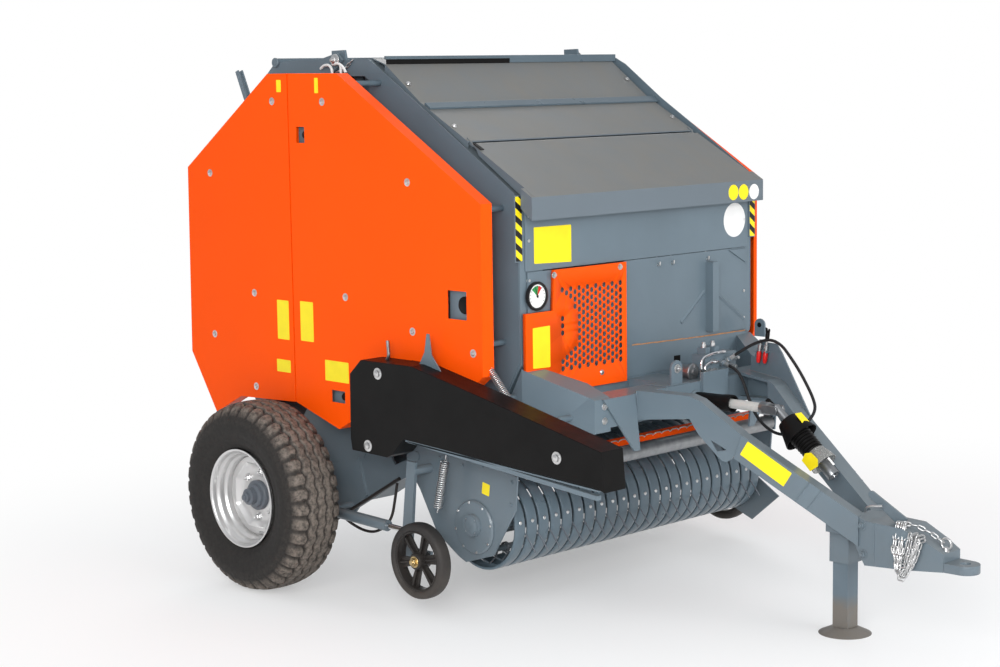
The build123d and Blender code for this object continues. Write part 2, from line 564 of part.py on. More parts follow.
def guard():
    """Black guard on the right and the carrier behind it."""
    out = -PANEL_RIGHT - 125
    back = -PANEL_RIGHT - 5
    outline = [(641, 1069), (571, 1005), (567, 733), (576, 686), (789, 681), (822, 696), (896, 768), (1955, 711),
               (1983, 700), (1970, 851), (1369, 984), (948, 1071)]
    shell = outline_xz(outline, out, back) - outline_xz(inset(outline, 5), out + 5, back + 5)
    shell -= outline_xz([(905, 800), (1950, 740), (1950, 690), (905, 745)], out + 5, back + 5)
    PIECES["side_guard"] = shell
    strip = outline_xz([(907, 755), (1948, 698), (1948, 704), (907, 761)], out + 11, back - 5)
    web = outline_xz([(907, 755), (1948, 698), (1948, 838), (1369, 968), (948, 1057), (650, 1054), (583, 990),
                      (588, 698), (786, 694), (815, 707), (890, 779), (907, 779)], back - 13, back - 5)
    studs = [bar_y(x, z, 12, out + 5, back - 13) for x, z in ((747, 1022), (677, 716), (1746, 802))]
    stays = [bar_y(x, z, 14, back - 7, y) for x, z, y in ((1190, 930, -FRAME_HALF), (1420, 860, -BEAM_HALF - 30))]
    PIECES["guard_carrier"] = (strip + web + stays + studs) - PIECES["main_frame"]


def leg_plane(points, depth):
    """Plate or tube on the right leg's outer face, drawn as (x, z) and that deep inwards."""
    on_face = [Vector(x, -LEG_NOSE_Y - (LEG_NOSE_X - x) * LEG_SPREAD, z) for x, z in points]
    inward = Vector(-LEG_SPREAD, 1, 0).normalized()
    return Solid.extrude(Face(Wire.make_polygon(on_face, close=True)), inward * depth)


def drawbar():
    plate = leg_plane([(BEAM_X[1], 945), (1740, 937), (1785, 920), (1951, 797), (1924, 713), (1911, 694), (1893, 683),
                       (1876, 685), (1862, 696), (1780, 783), (1743, 845), (BEAM_X[1], 826)], 12)
    plate -= leg_plane([(1829, 766), (1894, 731), (1854, 722)], 12)
    top = leg_plane([(BEAM_X[1], 945), (1740, 937), (1785, 920), (1951, 797), (1942, 787), (1779, 908), (1738, 925),
                     (BEAM_X[1], 933)], LEG_WIDTH)
    bottom = leg_plane([(BEAM_X[1], 838), (1748, 857), (1785, 797), (1777, 787), (1741, 845), (BEAM_X[1], 826)],
                       LEG_WIDTH)
    tube = leg_plane([(1949, 797), (LEG_NOSE_X - 10, 512), (LEG_NOSE_X - 10, 395), (1921, 700)], LEG_WIDTH)
    inner = leg_plane([(1740, 937), (1785, 920), (1951, 797), (1921, 700), (1800, 800), (1743, 845)], LEG_WIDTH)
    inner -= leg_plane([(1740, 937), (1785, 920), (1951, 797), (1921, 700), (1800, 800), (1743, 845)], LEG_WIDTH - 8)
    half = plate + top + bottom + tube + inner
    nose = outline_xz([(2385, 515), (2440, 497), (2600, 492), (2706, 449), (2770, 415), (2770, 345), (2680, 338),
                       (2435, 322), (2385, 405)], -NOSE_HALF, NOSE_HALF)
    nose &= outline_xy([(2385, -NOSE_HALF), (2600, -NOSE_HALF), (2770, -58), (2770, 58), (2600, NOSE_HALF),
                        (2385, NOSE_HALF)], 300, 530)
    sleeve_r = JACK_HALF + 10
    sleeve = block((JACK_X - sleeve_r, JACK_X + sleeve_r), (-sleeve_r, sleeve_r), (300, 480))
    tie = block((JACK_X - 30, JACK_X + 30), (-92, -sleeve_r), (430, 470))
    bar = half + left_of(half) + nose + sleeve + tie + left_of(tie)
    bar -= block(BEAM_X, (-FRAME_HALF, FRAME_HALF), (700, 1000))
    slot = JACK_HALF + RUN
    bar -= block((JACK_X - slot, JACK_X + slot), (-slot, slot), (200, 600))
    stand = leg_plane([(1530, 950), (1600, 1078), (1714, 1081), (1751, 1046), (1950, 797), (1785, 922), (1740, 939),
                       (1530, 947)], 6)
    PIECES["drawbar"] = bar + left_of(stand)
    hx, hz = HITCH
    lower, upper = hz - HITCH_PLATE / 2, hz + HITCH_PLATE / 2
    eye = outline_xy([(2770, -58), (hx, -55), (hx, 55), (2770, 58)], lower, upper)
    eye += Pos(hx, 0, hz) * Cylinder(55, HITCH_PLATE)
    PIECES["hitch_eye"] = eye - Pos(hx, 0, hz) * Cylinder(HITCH_HOLE_R, 2 * HITCH_PLATE)
    leg = block((JACK_X - JACK_HALF, JACK_X + JACK_HALF), (-JACK_HALF, JACK_HALF), (GROUND + 14, JACK_LEG_TOP))
    dish = Pos(JACK_X, 0, GROUND) * Cone(JACK_DISH_R, 50, 26, align=(Align.CENTER, Align.CENTER, Align.MIN))
    PIECES["jack_leg"] = leg + dish


def gearbox():
    """Gearbox behind the cross beam, with the valve block and its plate on the beam; they share a node."""
    box = block((FRONT_X + 4, BEAM_X[0]), (-95, 95), (858, BEAM_Z[1] - 1))
    valves = block(VALVE_X, (120, 330), (BEAM_Z[1], 1030))
    valves += block((VALVE_X[0] + 12, VALVE_X[1] - 12), (140, 170), (1030, 1058))
    valves += block((VALVE_X[0] + 12, VALVE_X[1] - 12), (200, 230), (1030, 1058))
    start, first = Vector(*HOSE_ROUTE[0]), Vector(*HOSE_ROUTE[1])
    end, last = Vector(*HOSE_ROUTE[-1]), Vector(*HOSE_ROUTE[-2])
    for tip, beyond in ((start, first), (end, last)):
        into = (tip - beyond).normalized()
        valves += rod(tip, tip + into * 52, HOSE_PORT_R)
    plate = block((BEAM_X[1], BEAM_X[1] + 15), (38, 205), (846, 972))
    PIECES["gearbox"] = Compound([box, valves, plate])


def pto():
    """Guarded drive shaft from the cross beam, and the half shaft that hangs from its joint."""
    back = Vector(PTO_BACK[0], 0, PTO_BACK[1])
    joint = Vector(PTO_JOINT[0], 0, PTO_JOINT[1])
    run = (joint - back).normalized()
    flange = Pos(PTO_BACK[0] + 6, 0, PTO_BACK[1]) * Rot(0, 90, 0) * Cylinder(37, 12)
    cover = rod(back, joint - run * 70, PTO_TUBE_R) + cone_between(back + run * 10, back + run * 205, 28, 37)
    fork = rod(joint - run * 90, joint - run * 40, 27)
    for side in (-1, 1):
        cheek = joint + Vector(0, 24 * side, 0)
        fork += beam(cheek - run * 64, cheek + run * 12, 10, 36)
    PIECES["pto_guard"] = flange + cover + fork - bar_y(joint.X, joint.Z, 10 + RUN, -60, 60)
    tip = Vector(PTO_TIP[0], 0, PTO_TIP[1])
    drop = (tip - joint).normalized()
    cross = bar_y(joint.X, joint.Z, 10, -31, 31) + rod(joint - drop * 17, joint + drop * 90, 17)
    sleeve = cone_between(joint + drop * 62, joint + drop * 150, 44, 74)
    sleeve += cone_between(joint + drop * 140, joint + drop * 236, 50, 44)
    sleeve += cone_between(joint + drop * 230, tip - drop * 26, 42, 56)
    bore = rod(tip - drop * 110, tip + drop * 10, 24 + RUN)
    PIECES["pto_shaft"] = cross + sleeve - bore
    yoke = rod(tip - drop * 108, tip, 24) + rod(tip, tip + drop * 35, 26)
    PIECES["pto_yoke"] = yoke - rod(tip - drop * 30, tip + drop * 60, PTO_BORE_R)


# Free hose from port to port of the valve block: corners of its route, as (x, y, z)
HOSE_ROUTE = [(1500, 225, 985), (1560, 222, 973), (1608, 210, 928), (1646, 194, 868), (1692, 176, 808),
              (1756, 158, 760), (1834, 142, 734), (1906, 131, 740), (1962, 133, 770), (1992, 163, 808),
              (1990, 204, 846), (1956, 232, 884), (1912, 249, 932), (1862, 263, 986), (1806, 275, 1038),
              (1750, 289, 1082), (1686, 295, 1100), (1618, 285, 1080), (1558, 268, 1044), (1508, 254, 1008)]


def hose():
    """Hose as straight runs joined by arcs, each as large as its two runs allow."""
    points = [Vector(*p) for p in HOSE_ROUTE]
    radii = []
    for before, corner, after in zip(points, points[1:], points[2:]):
        turn = radians((corner - before).get_angle(after - corner))
        shorter = min((corner - before).length, (after - corner).length)
        radii.append(0.45 * shorter / tan(turn / 2))
    route = FilletPolyline(*points, radius=radii)
    section = Plane(origin=route @ 0, z_dir=route % 0) * Circle(HOSE_R)
    tube = sweep(section, path=route)
    print("hose radii:", [round(r) for r in radii])
    print("hose length:", round(route.length, 1))
    print("hose volume over section times length:", round(tube.volume / (pi * HOSE_R ** 2 * route.length), 4))
    PIECES["hose_loop"] = tube


side_frames()
tailgate()
panels()
roof_and_lid()
front_end()
grille()
running_gear()
cylinders()
pickup()
tine_reel()
gauge_wheel()
main_frame()
guard()
drawbar()
gearbox()
pto()
hose()

boxes = [shape.bounding_box() for shape in PIECES.values()]
middle = (min(b.min.X for b in boxes) + max(b.max.X for b in boxes)) / 2
print("centre of the length, from the axle:", round(middle, 3))
os.makedirs("parts", exist_ok=True)
for name, shape in PIECES.items():
    placed = Pos(-middle, 0, -GROUND) * shape
    export_step(placed, "parts/" + name + ".step")
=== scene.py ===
"""Round baler: paint on the solids, the fine pieces, camera and light."""
from contextlib import contextmanager
from math import cos, hypot, pi, radians, sin, tau

import bmesh
import bpy
from mathutils import Matrix, Vector


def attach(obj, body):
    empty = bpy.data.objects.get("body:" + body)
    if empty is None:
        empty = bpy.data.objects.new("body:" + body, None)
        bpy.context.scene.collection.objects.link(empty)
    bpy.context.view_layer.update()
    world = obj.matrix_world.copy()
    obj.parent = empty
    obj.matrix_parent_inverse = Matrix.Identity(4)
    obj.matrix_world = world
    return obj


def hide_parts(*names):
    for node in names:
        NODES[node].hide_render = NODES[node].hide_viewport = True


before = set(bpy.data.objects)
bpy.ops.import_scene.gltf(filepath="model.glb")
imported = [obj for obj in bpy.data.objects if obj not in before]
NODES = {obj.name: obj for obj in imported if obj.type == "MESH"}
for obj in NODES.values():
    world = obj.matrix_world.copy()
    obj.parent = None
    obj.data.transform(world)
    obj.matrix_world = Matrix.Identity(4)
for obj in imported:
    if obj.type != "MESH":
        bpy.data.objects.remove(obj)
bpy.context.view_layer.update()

# The drawing's own places: millimetres from the wheel axle along X, and the height before the last step
MIDDLE_X = 1098.0
GROUND = 10.0

# Planes of the drawing that carry several pieces
PANEL_RIGHT, PANEL_LEFT = -950, 850
BOX_FACE = 1237
GUARD_FACE = 1255
BEAM_FACE = 1520

SIDES = (("right", -1), ("left", 1))
X_AXIS, Y_AXIS, Z_AXIS = Vector((1, 0, 0)), Vector((0, 1, 0)), Vector((0, 0, 1))


def at(x, y, z):
    """A place of the drawing, in the frame's metres."""
    return Vector(((x - MIDDLE_X) / 1000, y / 1000, (z - GROUND) / 1000))


def link(thing):
    bpy.context.scene.collection.objects.link(thing)
    return thing


# ---------- camera ----------

YAW, TILT, ROLL = radians(45.26), radians(-7.52), radians(-0.84)
FOCAL_PX, PICTURE_PX, SENSOR = 2001.4, 1000, 36
look = Vector((-sin(YAW) * cos(TILT), cos(YAW) * cos(TILT), sin(TILT)))
level = Vector((cos(YAW), sin(YAW), 0))
upright = level.cross(look)
right = level * cos(ROLL) + upright * sin(ROLL)
up = upright * cos(ROLL) - level * sin(ROLL)
camera_data = bpy.data.cameras.new("camera")
camera_data.sensor_width = SENSOR
camera_data.lens = FOCAL_PX / PICTURE_PX * SENSOR
camera_data.clip_end = 200
camera = link(bpy.data.objects.new("camera", camera_data))
camera.matrix_world = Matrix((right, up, -look)).transposed().to_4x4()
camera.location = (5.710, -6.379, 2.2305)
bpy.context.scene.camera = camera
bpy.context.scene.view_settings.view_transform = "Standard"


# ---------- shader nodes ----------

def noise(t, place, scale, detail, roughness=0.5):
    """Noise over the object's own coordinates."""
    n = t.nodes.new("ShaderNodeTexNoise")
    for socket, value in (("Scale", scale), ("Detail", detail), ("Roughness", roughness)):
        n.inputs[socket].default_value = value
    t.links.new(place["Object"], n.inputs["Vector"])
    return n.outputs["Fac"]


def calc(t, operation, *terms):
    """Math node; a term is a number or a socket."""
    n = t.nodes.new("ShaderNodeMath")
    n.operation = operation
    for socket, term in zip(n.inputs, terms):
        if isinstance(term, (int, float)):
            socket.default_value = term
        else:
            t.links.new(term, socket)
    return n.outputs[0]


def spread(t, value, low, high, to_low=0.0, to_high=1.0, smooth=False):
    """Maps low..high to to_low..to_high."""
    n = t.nodes.new("ShaderNodeMapRange")
    if smooth:
        n.interpolation_type = "SMOOTHSTEP"
    for socket, number in (("From Min", low), ("From Max", high), ("To Min", to_low), ("To Max", to_high)):
        n.inputs[socket].default_value = number
    t.links.new(value, n.inputs["Value"])
    return n.outputs[0]


def axes(t, vector):
    n = t.nodes.new("ShaderNodeSeparateXYZ")
    t.links.new(vector, n.inputs[0])
    return n.outputs


def ramp(t, value, *stops):
    n = t.nodes.new("ShaderNodeValToRGB")
    for element, (position, color) in zip(n.color_ramp.elements, stops):
        element.position = position
        element.color = (*color, 1)
    t.links.new(value, n.inputs[0])
    return n.outputs[0]


def cover(t, share, base, color):
    """Colour laid over the base by share."""
    n = t.nodes.new("ShaderNodeMix")
    n.data_type = "RGBA"
    n.inputs["B"].default_value = (*color, 1)
    t.links.new(share, n.inputs["Factor"])
    t.links.new(base, n.inputs["A"])
    return n.outputs["Result"]


def either(t, share, one, two):
    """Shader one or two, by share."""
    n = t.nodes.new("ShaderNodeMixShader")
    for socket, source in zip(n.inputs, (share, one, two)):
        t.links.new(source, socket)
    return n.outputs[0]


# ---------- light ----------

def area_light(name, place, aim, size, power, shine=True):
    data = bpy.data.lights.new(name, "AREA")
    data.shape = "DISK"
    data.size = size
    data.energy = power
    lamp = link(bpy.data.objects.new(name, data))
    lamp.location = place
    lamp.visible_glossy = shine
    lamp.rotation_euler = (Vector(aim) - Vector(place)).to_track_quat("-Z", "Y").to_euler()


area_light("key", (4.4, -7.6, 4.8), (0, 0, 1.0), 5.0, 340)
area_light("fill", (5.6, -6.7, 2.9), (0.4, -0.4, 1.1), 1.6, 210)
area_light("front", (8.4, 0.6, 3.4), (0.4, 0, 1.0), 5.0, 300, shine=False)
area_light("back", (-6.0, 5.0, 5.5), (0, 0, 1.0), 5.0, 150)

world = bpy.data.worlds.new("studio")
bpy.context.scene.world = world
world.use_nodes = True
tree = world.node_tree
tree.nodes.clear()
height = axes(tree, tree.nodes.new("ShaderNodeTexCoord").outputs["Generated"])["Z"]
lit, seen = [tree.nodes.new("ShaderNodeBackground") for _ in range(2)]
tree.links.new(ramp(tree, height, (0.0, (0.56, 0.56, 0.57)), (0.7, (0.74, 0.76, 0.79))), lit.inputs[0])
lit.inputs[1].default_value = 0.78
seen.inputs[0].default_value = (1, 1, 1, 1)
rays = tree.nodes.new("ShaderNodeLightPath").outputs
sky = either(tree, rays["Is Camera Ray"], lit.outputs[0], seen.outputs[0])
tree.links.new(sky, tree.nodes.new("ShaderNodeOutputWorld").inputs[0])


# ---------- materials ----------

LYING_DUST = (0.172, 0.168, 0.155)


def material(name, color, rough=0.5, metal=0.0, coat=0.0, vary=0.06, scale=6.0, bump=0.0, bump_scale=300.0,
             dust=0.0, dust_color=(0.19, 0.155, 0.125), dust_top=0.9, rough_vary=0.08, gloss=0.35, settled=0.0):
    """Painted, plated or moulded surface: colour and roughness drift, with fine bump, dust low down (dust, up to
    dust_top) and dust that lies on what faces up (settled)."""
    m = bpy.data.materials.new(name)
    m.use_nodes = True
    t = m.node_tree
    shader = t.nodes["Principled BSDF"].inputs
    for socket, value in (("Metallic", metal), ("Coat Weight", coat), ("Coat Roughness", 0.12),
                          ("Specular IOR Level", gloss)):
        shader[socket].default_value = value
    place = t.nodes.new("ShaderNodeTexCoord").outputs
    last = ramp(t, noise(t, place, scale, 6), (0.3, [c * (1 - vary) for c in color]),
                (0.7, [min(1, c * (1 + vary)) for c in color]))
    if dust:
        low = spread(t, axes(t, place["Object"])["Z"], dust_top, 0.1)
        share = calc(t, "MULTIPLY", low, noise(t, place, 14, 8, 0.65))
        last = cover(t, calc(t, "MULTIPLY", share, dust), last, dust_color)
    if settled:
        upward = spread(t, axes(t, place["Normal"])["Z"], 0.35, 0.8)
        patchy = spread(t, noise(t, place, 5, 10, 0.7), 0.3, 0.65, settled * 0.55, settled)
        last = cover(t, calc(t, "MULTIPLY", upward, patchy), last, LYING_DUST)
    t.links.new(last, shader["Base Color"])
    smear = noise(t, place, scale * 2.3, 4)
    t.links.new(spread(t, smear, 0, 1, max(0.02, rough - rough_vary), min(1, rough + rough_vary)),
                shader["Roughness"])
    if bump:
        relief = t.nodes.new("ShaderNodeBump")
        relief.inputs["Strength"].default_value = bump
        relief.inputs["Distance"].default_value = 0.001
        t.links.new(noise(t, place, bump_scale, 3), relief.inputs["Height"])
        t.links.new(relief.outputs[0], shader["Normal"])
    return m


def covered(m, color, share):
    """Lays a colour over a material; share makes its amount from the node tree and the coordinates."""
    t = m.node_tree
    shader = t.nodes["Principled BSDF"].inputs
    base = shader["Base Color"].links[0].from_socket
    place = t.nodes.new("ShaderNodeTexCoord").outputs
    t.links.new(cover(t, share(t, place), base, color), shader["Base Color"])
    return m


def soil_share(t, place):
    """Dry soil in patches, by the tyre mesh's own soil attribute."""
    soil = t.nodes.new("ShaderNodeAttribute")
    soil.attribute_name = "soil"
    return calc(t, "MULTIPLY", soil.outputs["Fac"], spread(t, noise(t, place, 55, 8, 0.7), 0.3, 0.6))


def stripe_share(t, place):
    """Slanted stripes over a strip that stands in the YZ plane."""
    stripe = 0.0275
    spot = axes(t, place["Object"])
    turns = calc(t, "PINGPONG", calc(t, "MULTIPLY_ADD", spot["Y"], 0.75, spot["Z"]), stripe)
    return calc(t, "GREATER_THAN", turns, stripe / 2)


def panel_material(name, limit):
    """Orange sheet whose stays, nearer to the middle than the limit, have the frame's grey."""
    sheet = material(name, (0.97, 0.088, 0.002), 0.42, vary=0.03, scale=1.6, bump=0.05, bump_scale=180, gloss=0.08)
    return covered(sheet, (0.115, 0.155, 0.185), lambda t, place: calc(
        t, "LESS_THAN", calc(t, "ABSOLUTE", axes(t, place["Object"])["Y"]), limit))


ORANGE = material("orange_paint", (0.97, 0.092, 0.002), 0.42, vary=0.03, scale=1.6, bump=0.05, bump_scale=180,
                  gloss=0.12)
GREY = material("grey_paint", (0.125, 0.168, 0.200), 0.36, coat=0.12, vary=0.07, scale=3.0, bump=0.06,
                bump_scale=160, dust=0.3, settled=0.35)
# Darker copy of the grey paint, on the pickup's bands and the roof rail: painted shade
GREY_SHADED = material("grey_paint_shaded", (0.092, 0.128, 0.155), 0.3, coat=0.12, vary=0.07, scale=4.0, bump=0.06,
                     bump_scale=160)
JACK_PAINT = material("jack_paint", (0.118, 0.158, 0.188), 0.4, coat=0.05, vary=0.07, scale=6.0, bump=0.06,
                      bump_scale=160, dust=2.2, dust_color=(0.165, 0.150, 0.132), dust_top=0.16)
GREY_LID = material("grey_cover", (0.130, 0.160, 0.185), 0.4, coat=0.05, vary=0.05, scale=1.5, bump=0.05,
                    bump_scale=160, settled=1.0)
BLACK = material("black_plastic", (0.0058, 0.0055, 0.0055), 0.42, vary=0.15, scale=9, bump=0.12, bump_scale=420,
                 gloss=0.12)
SATIN_BLACK = material("black_enamel", (0.012, 0.012, 0.013), 0.34, coat=0.05, vary=0.1, scale=12, dust=0.25,
                       gloss=0.2)
RUBBER = material("wheel_rubber", (0.016, 0.016, 0.017), 0.62, vary=0.12, scale=40, bump=0.25, bump_scale=300,
                  dust=0.4, dust_top=0.5)
HOSE = material("hose_rubber", (0.014, 0.014, 0.015), 0.42, vary=0.1, scale=60, bump=0.15, bump_scale=500)
SILVER = material("rim_silver", (0.66, 0.66, 0.66), 0.34, metal=0.7, vary=0.06, scale=9, bump=0.06,
                  bump_scale=260, dust=0.3, dust_color=(0.42, 0.37, 0.32), dust_top=0.75)
ZINC = material("zinc", (0.66, 0.66, 0.66), 0.34, metal=1.0, vary=0.12, scale=60, bump=0.08, bump_scale=500)
GOLD_ZINC = material("gold_zinc", (0.52, 0.40, 0.21), 0.34, metal=1.0, vary=0.12, scale=50)
CHROME = material("chrome", (0.82, 0.82, 0.83), 0.07, metal=1.0, vary=0.02, scale=20, rough_vary=0.03)
STEEL = material("worn_steel", (0.30, 0.31, 0.32), 0.36, metal=0.9, vary=0.15, scale=35, bump=0.12)
YELLOW = material("yellow_film", (0.90, 0.72, 0.01), 0.34, vary=0.03, scale=20)
WHITE = material("white_film", (0.80, 0.80, 0.79), 0.32, vary=0.02, scale=20)
RED = material("red_plastic", (0.62, 0.012, 0.01), 0.35, vary=0.05, scale=30)
PALE = material("pale_plastic", (0.52, 0.52, 0.50), 0.38, vary=0.06, scale=25, bump=0.1, bump_scale=320, dust=0.2)
CLEAR = material("clear_plastic", (0.62, 0.62, 0.60), 0.16, vary=0.05, scale=30)
CLEAR.node_tree.nodes["Principled BSDF"].inputs["Transmission Weight"].default_value = 0.75
CLEAR.node_tree.nodes["Principled BSDF"].inputs["IOR"].default_value = 1.3
GREEN = material("green_film", (0.03, 0.28, 0.08), 0.35, vary=0.05, scale=30)
HUB_GREY = material("hub_grey", (0.10, 0.12, 0.145), 0.38, coat=0.15, vary=0.1, scale=25, dust=0.3)
RUST = material("rust_line", (0.42, 0.20, 0.09), 0.6, vary=0.25, scale=40)
TREAD = covered(material("tyre_rubber", (0.0125, 0.0115, 0.011), 0.72, vary=0.12, scale=30, bump=0.35,
                         bump_scale=240), (0.190, 0.160, 0.135), soil_share)
HAZARD = covered(material("hazard_tape", (0.9, 0.7, 0.01), 0.32, vary=0.02, scale=15), (0.008, 0.008, 0.008),
                 stripe_share)
PANEL_PAINT = {"right": panel_material("panel_paint_right", 0.886),
               "left": panel_material("panel_paint_left", 0.826)}

# ---------- floor ----------

# Matt and grey near the machine, where its shadow lies, and white from WHITE_FROM metres on
WHITE_FROM, SHADOW_TO, NEAR_WHITE = 4.2, 0.9, 0.35
FLOOR = 60
floor_mesh = bpy.data.meshes.new("floor")
floor_mesh.from_pydata([(-FLOOR, -FLOOR, 0), (FLOOR, -FLOOR, 0), (FLOOR, FLOOR, 0), (-FLOOR, FLOOR, 0)], [],
                       [(0, 1, 2, 3)])
floor = link(bpy.data.objects.new("floor", floor_mesh))
floor_paint = bpy.data.materials.new("floor")
floor_paint.use_nodes = True
tree = floor_paint.node_tree
matt = tree.nodes["Principled BSDF"]
for name, value in (("Base Color", (0.93, 0.93, 0.93, 1)), ("Roughness", 0.95), ("Specular IOR Level", 0.1)):
    matt.inputs[name].default_value = value
glow = tree.nodes.new("ShaderNodeEmission")
glow.inputs["Strength"].default_value = 1.0
away = tree.nodes.new("ShaderNodeVectorMath")
away.operation = "LENGTH"
tree.links.new(tree.nodes.new("ShaderNodeTexCoord").outputs["Object"], away.inputs[0])
fade = spread(tree, away.outputs["Value"], SHADOW_TO, WHITE_FROM, NEAR_WHITE, smooth=True)
rays = tree.nodes.new("ShaderNodeLightPath").outputs
seen_by = calc(tree, "MAXIMUM", calc(tree, "MAXIMUM", rays["Is Camera Ray"], rays["Is Glossy Ray"]),
               rays["Is Transmission Ray"])
floor_mix = either(tree, calc(tree, "MULTIPLY", fade, seen_by), matt.outputs[0], glow.outputs[0])
tree.links.new(floor_mix, tree.nodes["Material Output"].inputs[0])
floor_mesh.materials.append(floor_paint)


# ---------- mesh helpers ----------

def soften(o, width, angle):
    """Rounds the sharp edges."""
    soft = o.modifiers.new("edges", "BEVEL")
    soft.width = width
    soft.segments = 2
    soft.limit_method = "ANGLE"
    soft.angle_limit = radians(angle)
    soft.harden_normals = True


def finish_mesh(name, bm, mat, body="chassis", bevel=0.0, angle=38, replaces=()):
    """A piece from a bmesh, smooth but for its sharp edges, on its body."""
    bmesh.ops.recalc_face_normals(bm, faces=bm.faces)
    mesh = bpy.data.meshes.new(name)
    bm.to_mesh(mesh)
    bm.free()
    for face in mesh.polygons:
        face.use_smooth = True
    mesh.set_sharp_from_angle(angle=radians(angle))
    mesh.materials.append(mat)
    piece = link(bpy.data.objects.new(name, mesh))
    if bevel:
        soften(piece, bevel, angle)
    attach(piece, body)
    if replaces:
        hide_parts(*replaces)
    return piece


@contextmanager
def making(name, mat, body="chassis", **finish):
    """Gives the bmesh of a piece, and finishes the piece at the end of the block."""
    bm = bmesh.new()
    yield bm
    finish_mesh(name, bm, mat, body, **finish)


def circle(centre, r, one, two, count, turn=0.0):
    """Points round a centre in the plane of two directions."""
    angles = [tau * k / count + turn for k in range(count)]
    return [centre + (one * cos(a) + two * sin(a)) * r for a in angles]


def arc(start, end, count):
    """Angles in even steps, both ends included."""
    return [start + (end - start) * k / count for k in range(count + 1)]


def new_verts(bm, points):
    return [bm.verts.new(p) for p in points]


def join(bm, one, two):
    """Faces between two closed rings."""
    for i in range(len(one)):
        j = (i + 1) % len(one)
        bm.faces.new((one[i], one[j], two[j], two[i]))


def lathe(bm, profile, centre, axis, turns=48):
    """Turns a line of (distance along the axis, radius) round it. A radius of 0 closes an end."""
    axis = Vector(axis).normalized()
    side = axis.orthogonal().normalized()
    other = axis.cross(side)
    centre = Vector(centre)
    rings = [new_verts(bm, circle(centre + axis * along, r, side, other, turns) if r else [centre + axis * along])
             for along, r in profile]
    for one, two in zip(rings, rings[1:]):
        if len(one) == len(two):
            join(bm, one, two)
            continue
        for i in range(turns):
            j = (i + 1) % turns
            bm.faces.new((one[0], two[j], two[i]) if len(one) == 1 else (one[i], one[j], two[0]))


def turned(name, mat, profile, centre, axis, turns=48, body="chassis", angle=35, replaces=()):
    """Piece of a single turned profile."""
    with making(name, mat, body, angle=angle, replaces=replaces) as bm:
        lathe(bm, profile, centre, axis, turns)


def disc(bm, centre, axis, r, height, turns=24, chamfer=0.0):
    """Closed round or many-sided bar that stands on a surface."""
    c = min(chamfer, height * 0.45, r * 0.45)
    rim_line = [(height - c, r), (height, r - c)] if c else [(height, r)]
    lathe(bm, [(0, 0), (0, r), *rim_line, (height, 0)], centre, axis, turns)


def hex_bolt(bm, centre, axis, size, washer=True, stub=0.0):
    """Hexagon head on its washer; size is the radius over the corners."""
    axis = Vector(axis).normalized()
    centre = Vector(centre)
    base = 0.0
    if washer:
        disc(bm, centre, axis, size * 1.45, size * 0.22, 20, size * 0.06)
        base = size * 0.22
    disc(bm, centre + axis * (base - 0.0002), axis, size, size * 0.75, 6, size * 0.12)
    if stub:
        disc(bm, centre + axis * (base + size * 0.75 - 0.0004), axis, size * 0.52, stub, 14, size * 0.08)


def slab(bm, outline, depth):
    """Closed plate from a flat outline of 3-D points, thickened along depth."""
    depth = Vector(depth)
    one = new_verts(bm, [Vector(p) for p in outline])
    two = new_verts(bm, [Vector(p) + depth for p in outline])
    bm.faces.new(one)
    bm.faces.new(list(reversed(two)))
    for i in range(len(one)):
        j = (i + 1) % len(one)
        bm.faces.new((one[i], two[i], two[j], one[j]))


def side_slab(bm, y, outline, thick):
    """Plate that stands along X, from the drawing's (x, z)."""
    slab(bm, [at(x, y, z) for x, z in outline], (0, thick, 0))


def front_slab(bm, x, outline, thick):
    """Plate that stands across, from the drawing's (y, z)."""
    slab(bm, [at(x, y, z) for y, z in outline], (thick, 0, 0))


def brick(bm, low, high):
    """Closed box between two corners of the drawing."""
    (x0, y0, z0), (x1, y1, z1) = at(*low), at(*high)
    slab(bm, [(x0, y0, z0), (x1, y0, z0), (x1, y1, z0), (x0, y1, z0)], (0, 0, z1 - z0))


def sweep(bm, points, r, turns=12, cap=True):
    """Round bar along a line of points; r may give each point its own radius."""
    pts = [Vector(p) for p in points]
    count = len(pts)
    normal = None
    rings = []
    for i, p in enumerate(pts):
        ahead = (pts[min(i + 1, count - 1)] - pts[max(i - 1, 0)]).normalized()
        if normal is None:
            normal = ahead.orthogonal().normalized()
        else:
            normal = (normal - ahead * normal.dot(ahead)).normalized()
        radius = r[i] if isinstance(r, (list, tuple)) else r
        rings.append(new_verts(bm, circle(p, radius, normal, ahead.cross(normal), turns)))
    for one, two in zip(rings, rings[1:]):
        join(bm, one, two)
    if cap:
        bm.faces.new(list(reversed(rings[0])))
        bm.faces.new(rings[-1])


def corner(a, b, c, reach, steps):
    """Points of the bend at b."""
    p, q = b + (a - b).normalized() * reach, b + (c - b).normalized() * reach
    return [p.lerp(b, k / steps).lerp(b.lerp(q, k / steps), k / steps) for k in range(steps + 1)]


def rounded(points, radius, steps=5):
    """Line through corners with each inner corner rounded."""
    pts = [Vector(p) for p in points]
    line = [pts[0]]
    for a, b, c in zip(pts, pts[1:], pts[2:]):
        line += corner(a, b, c, min(radius, (a - b).length * 0.49, (c - b).length * 0.49), steps)
    return line + [pts[-1]]


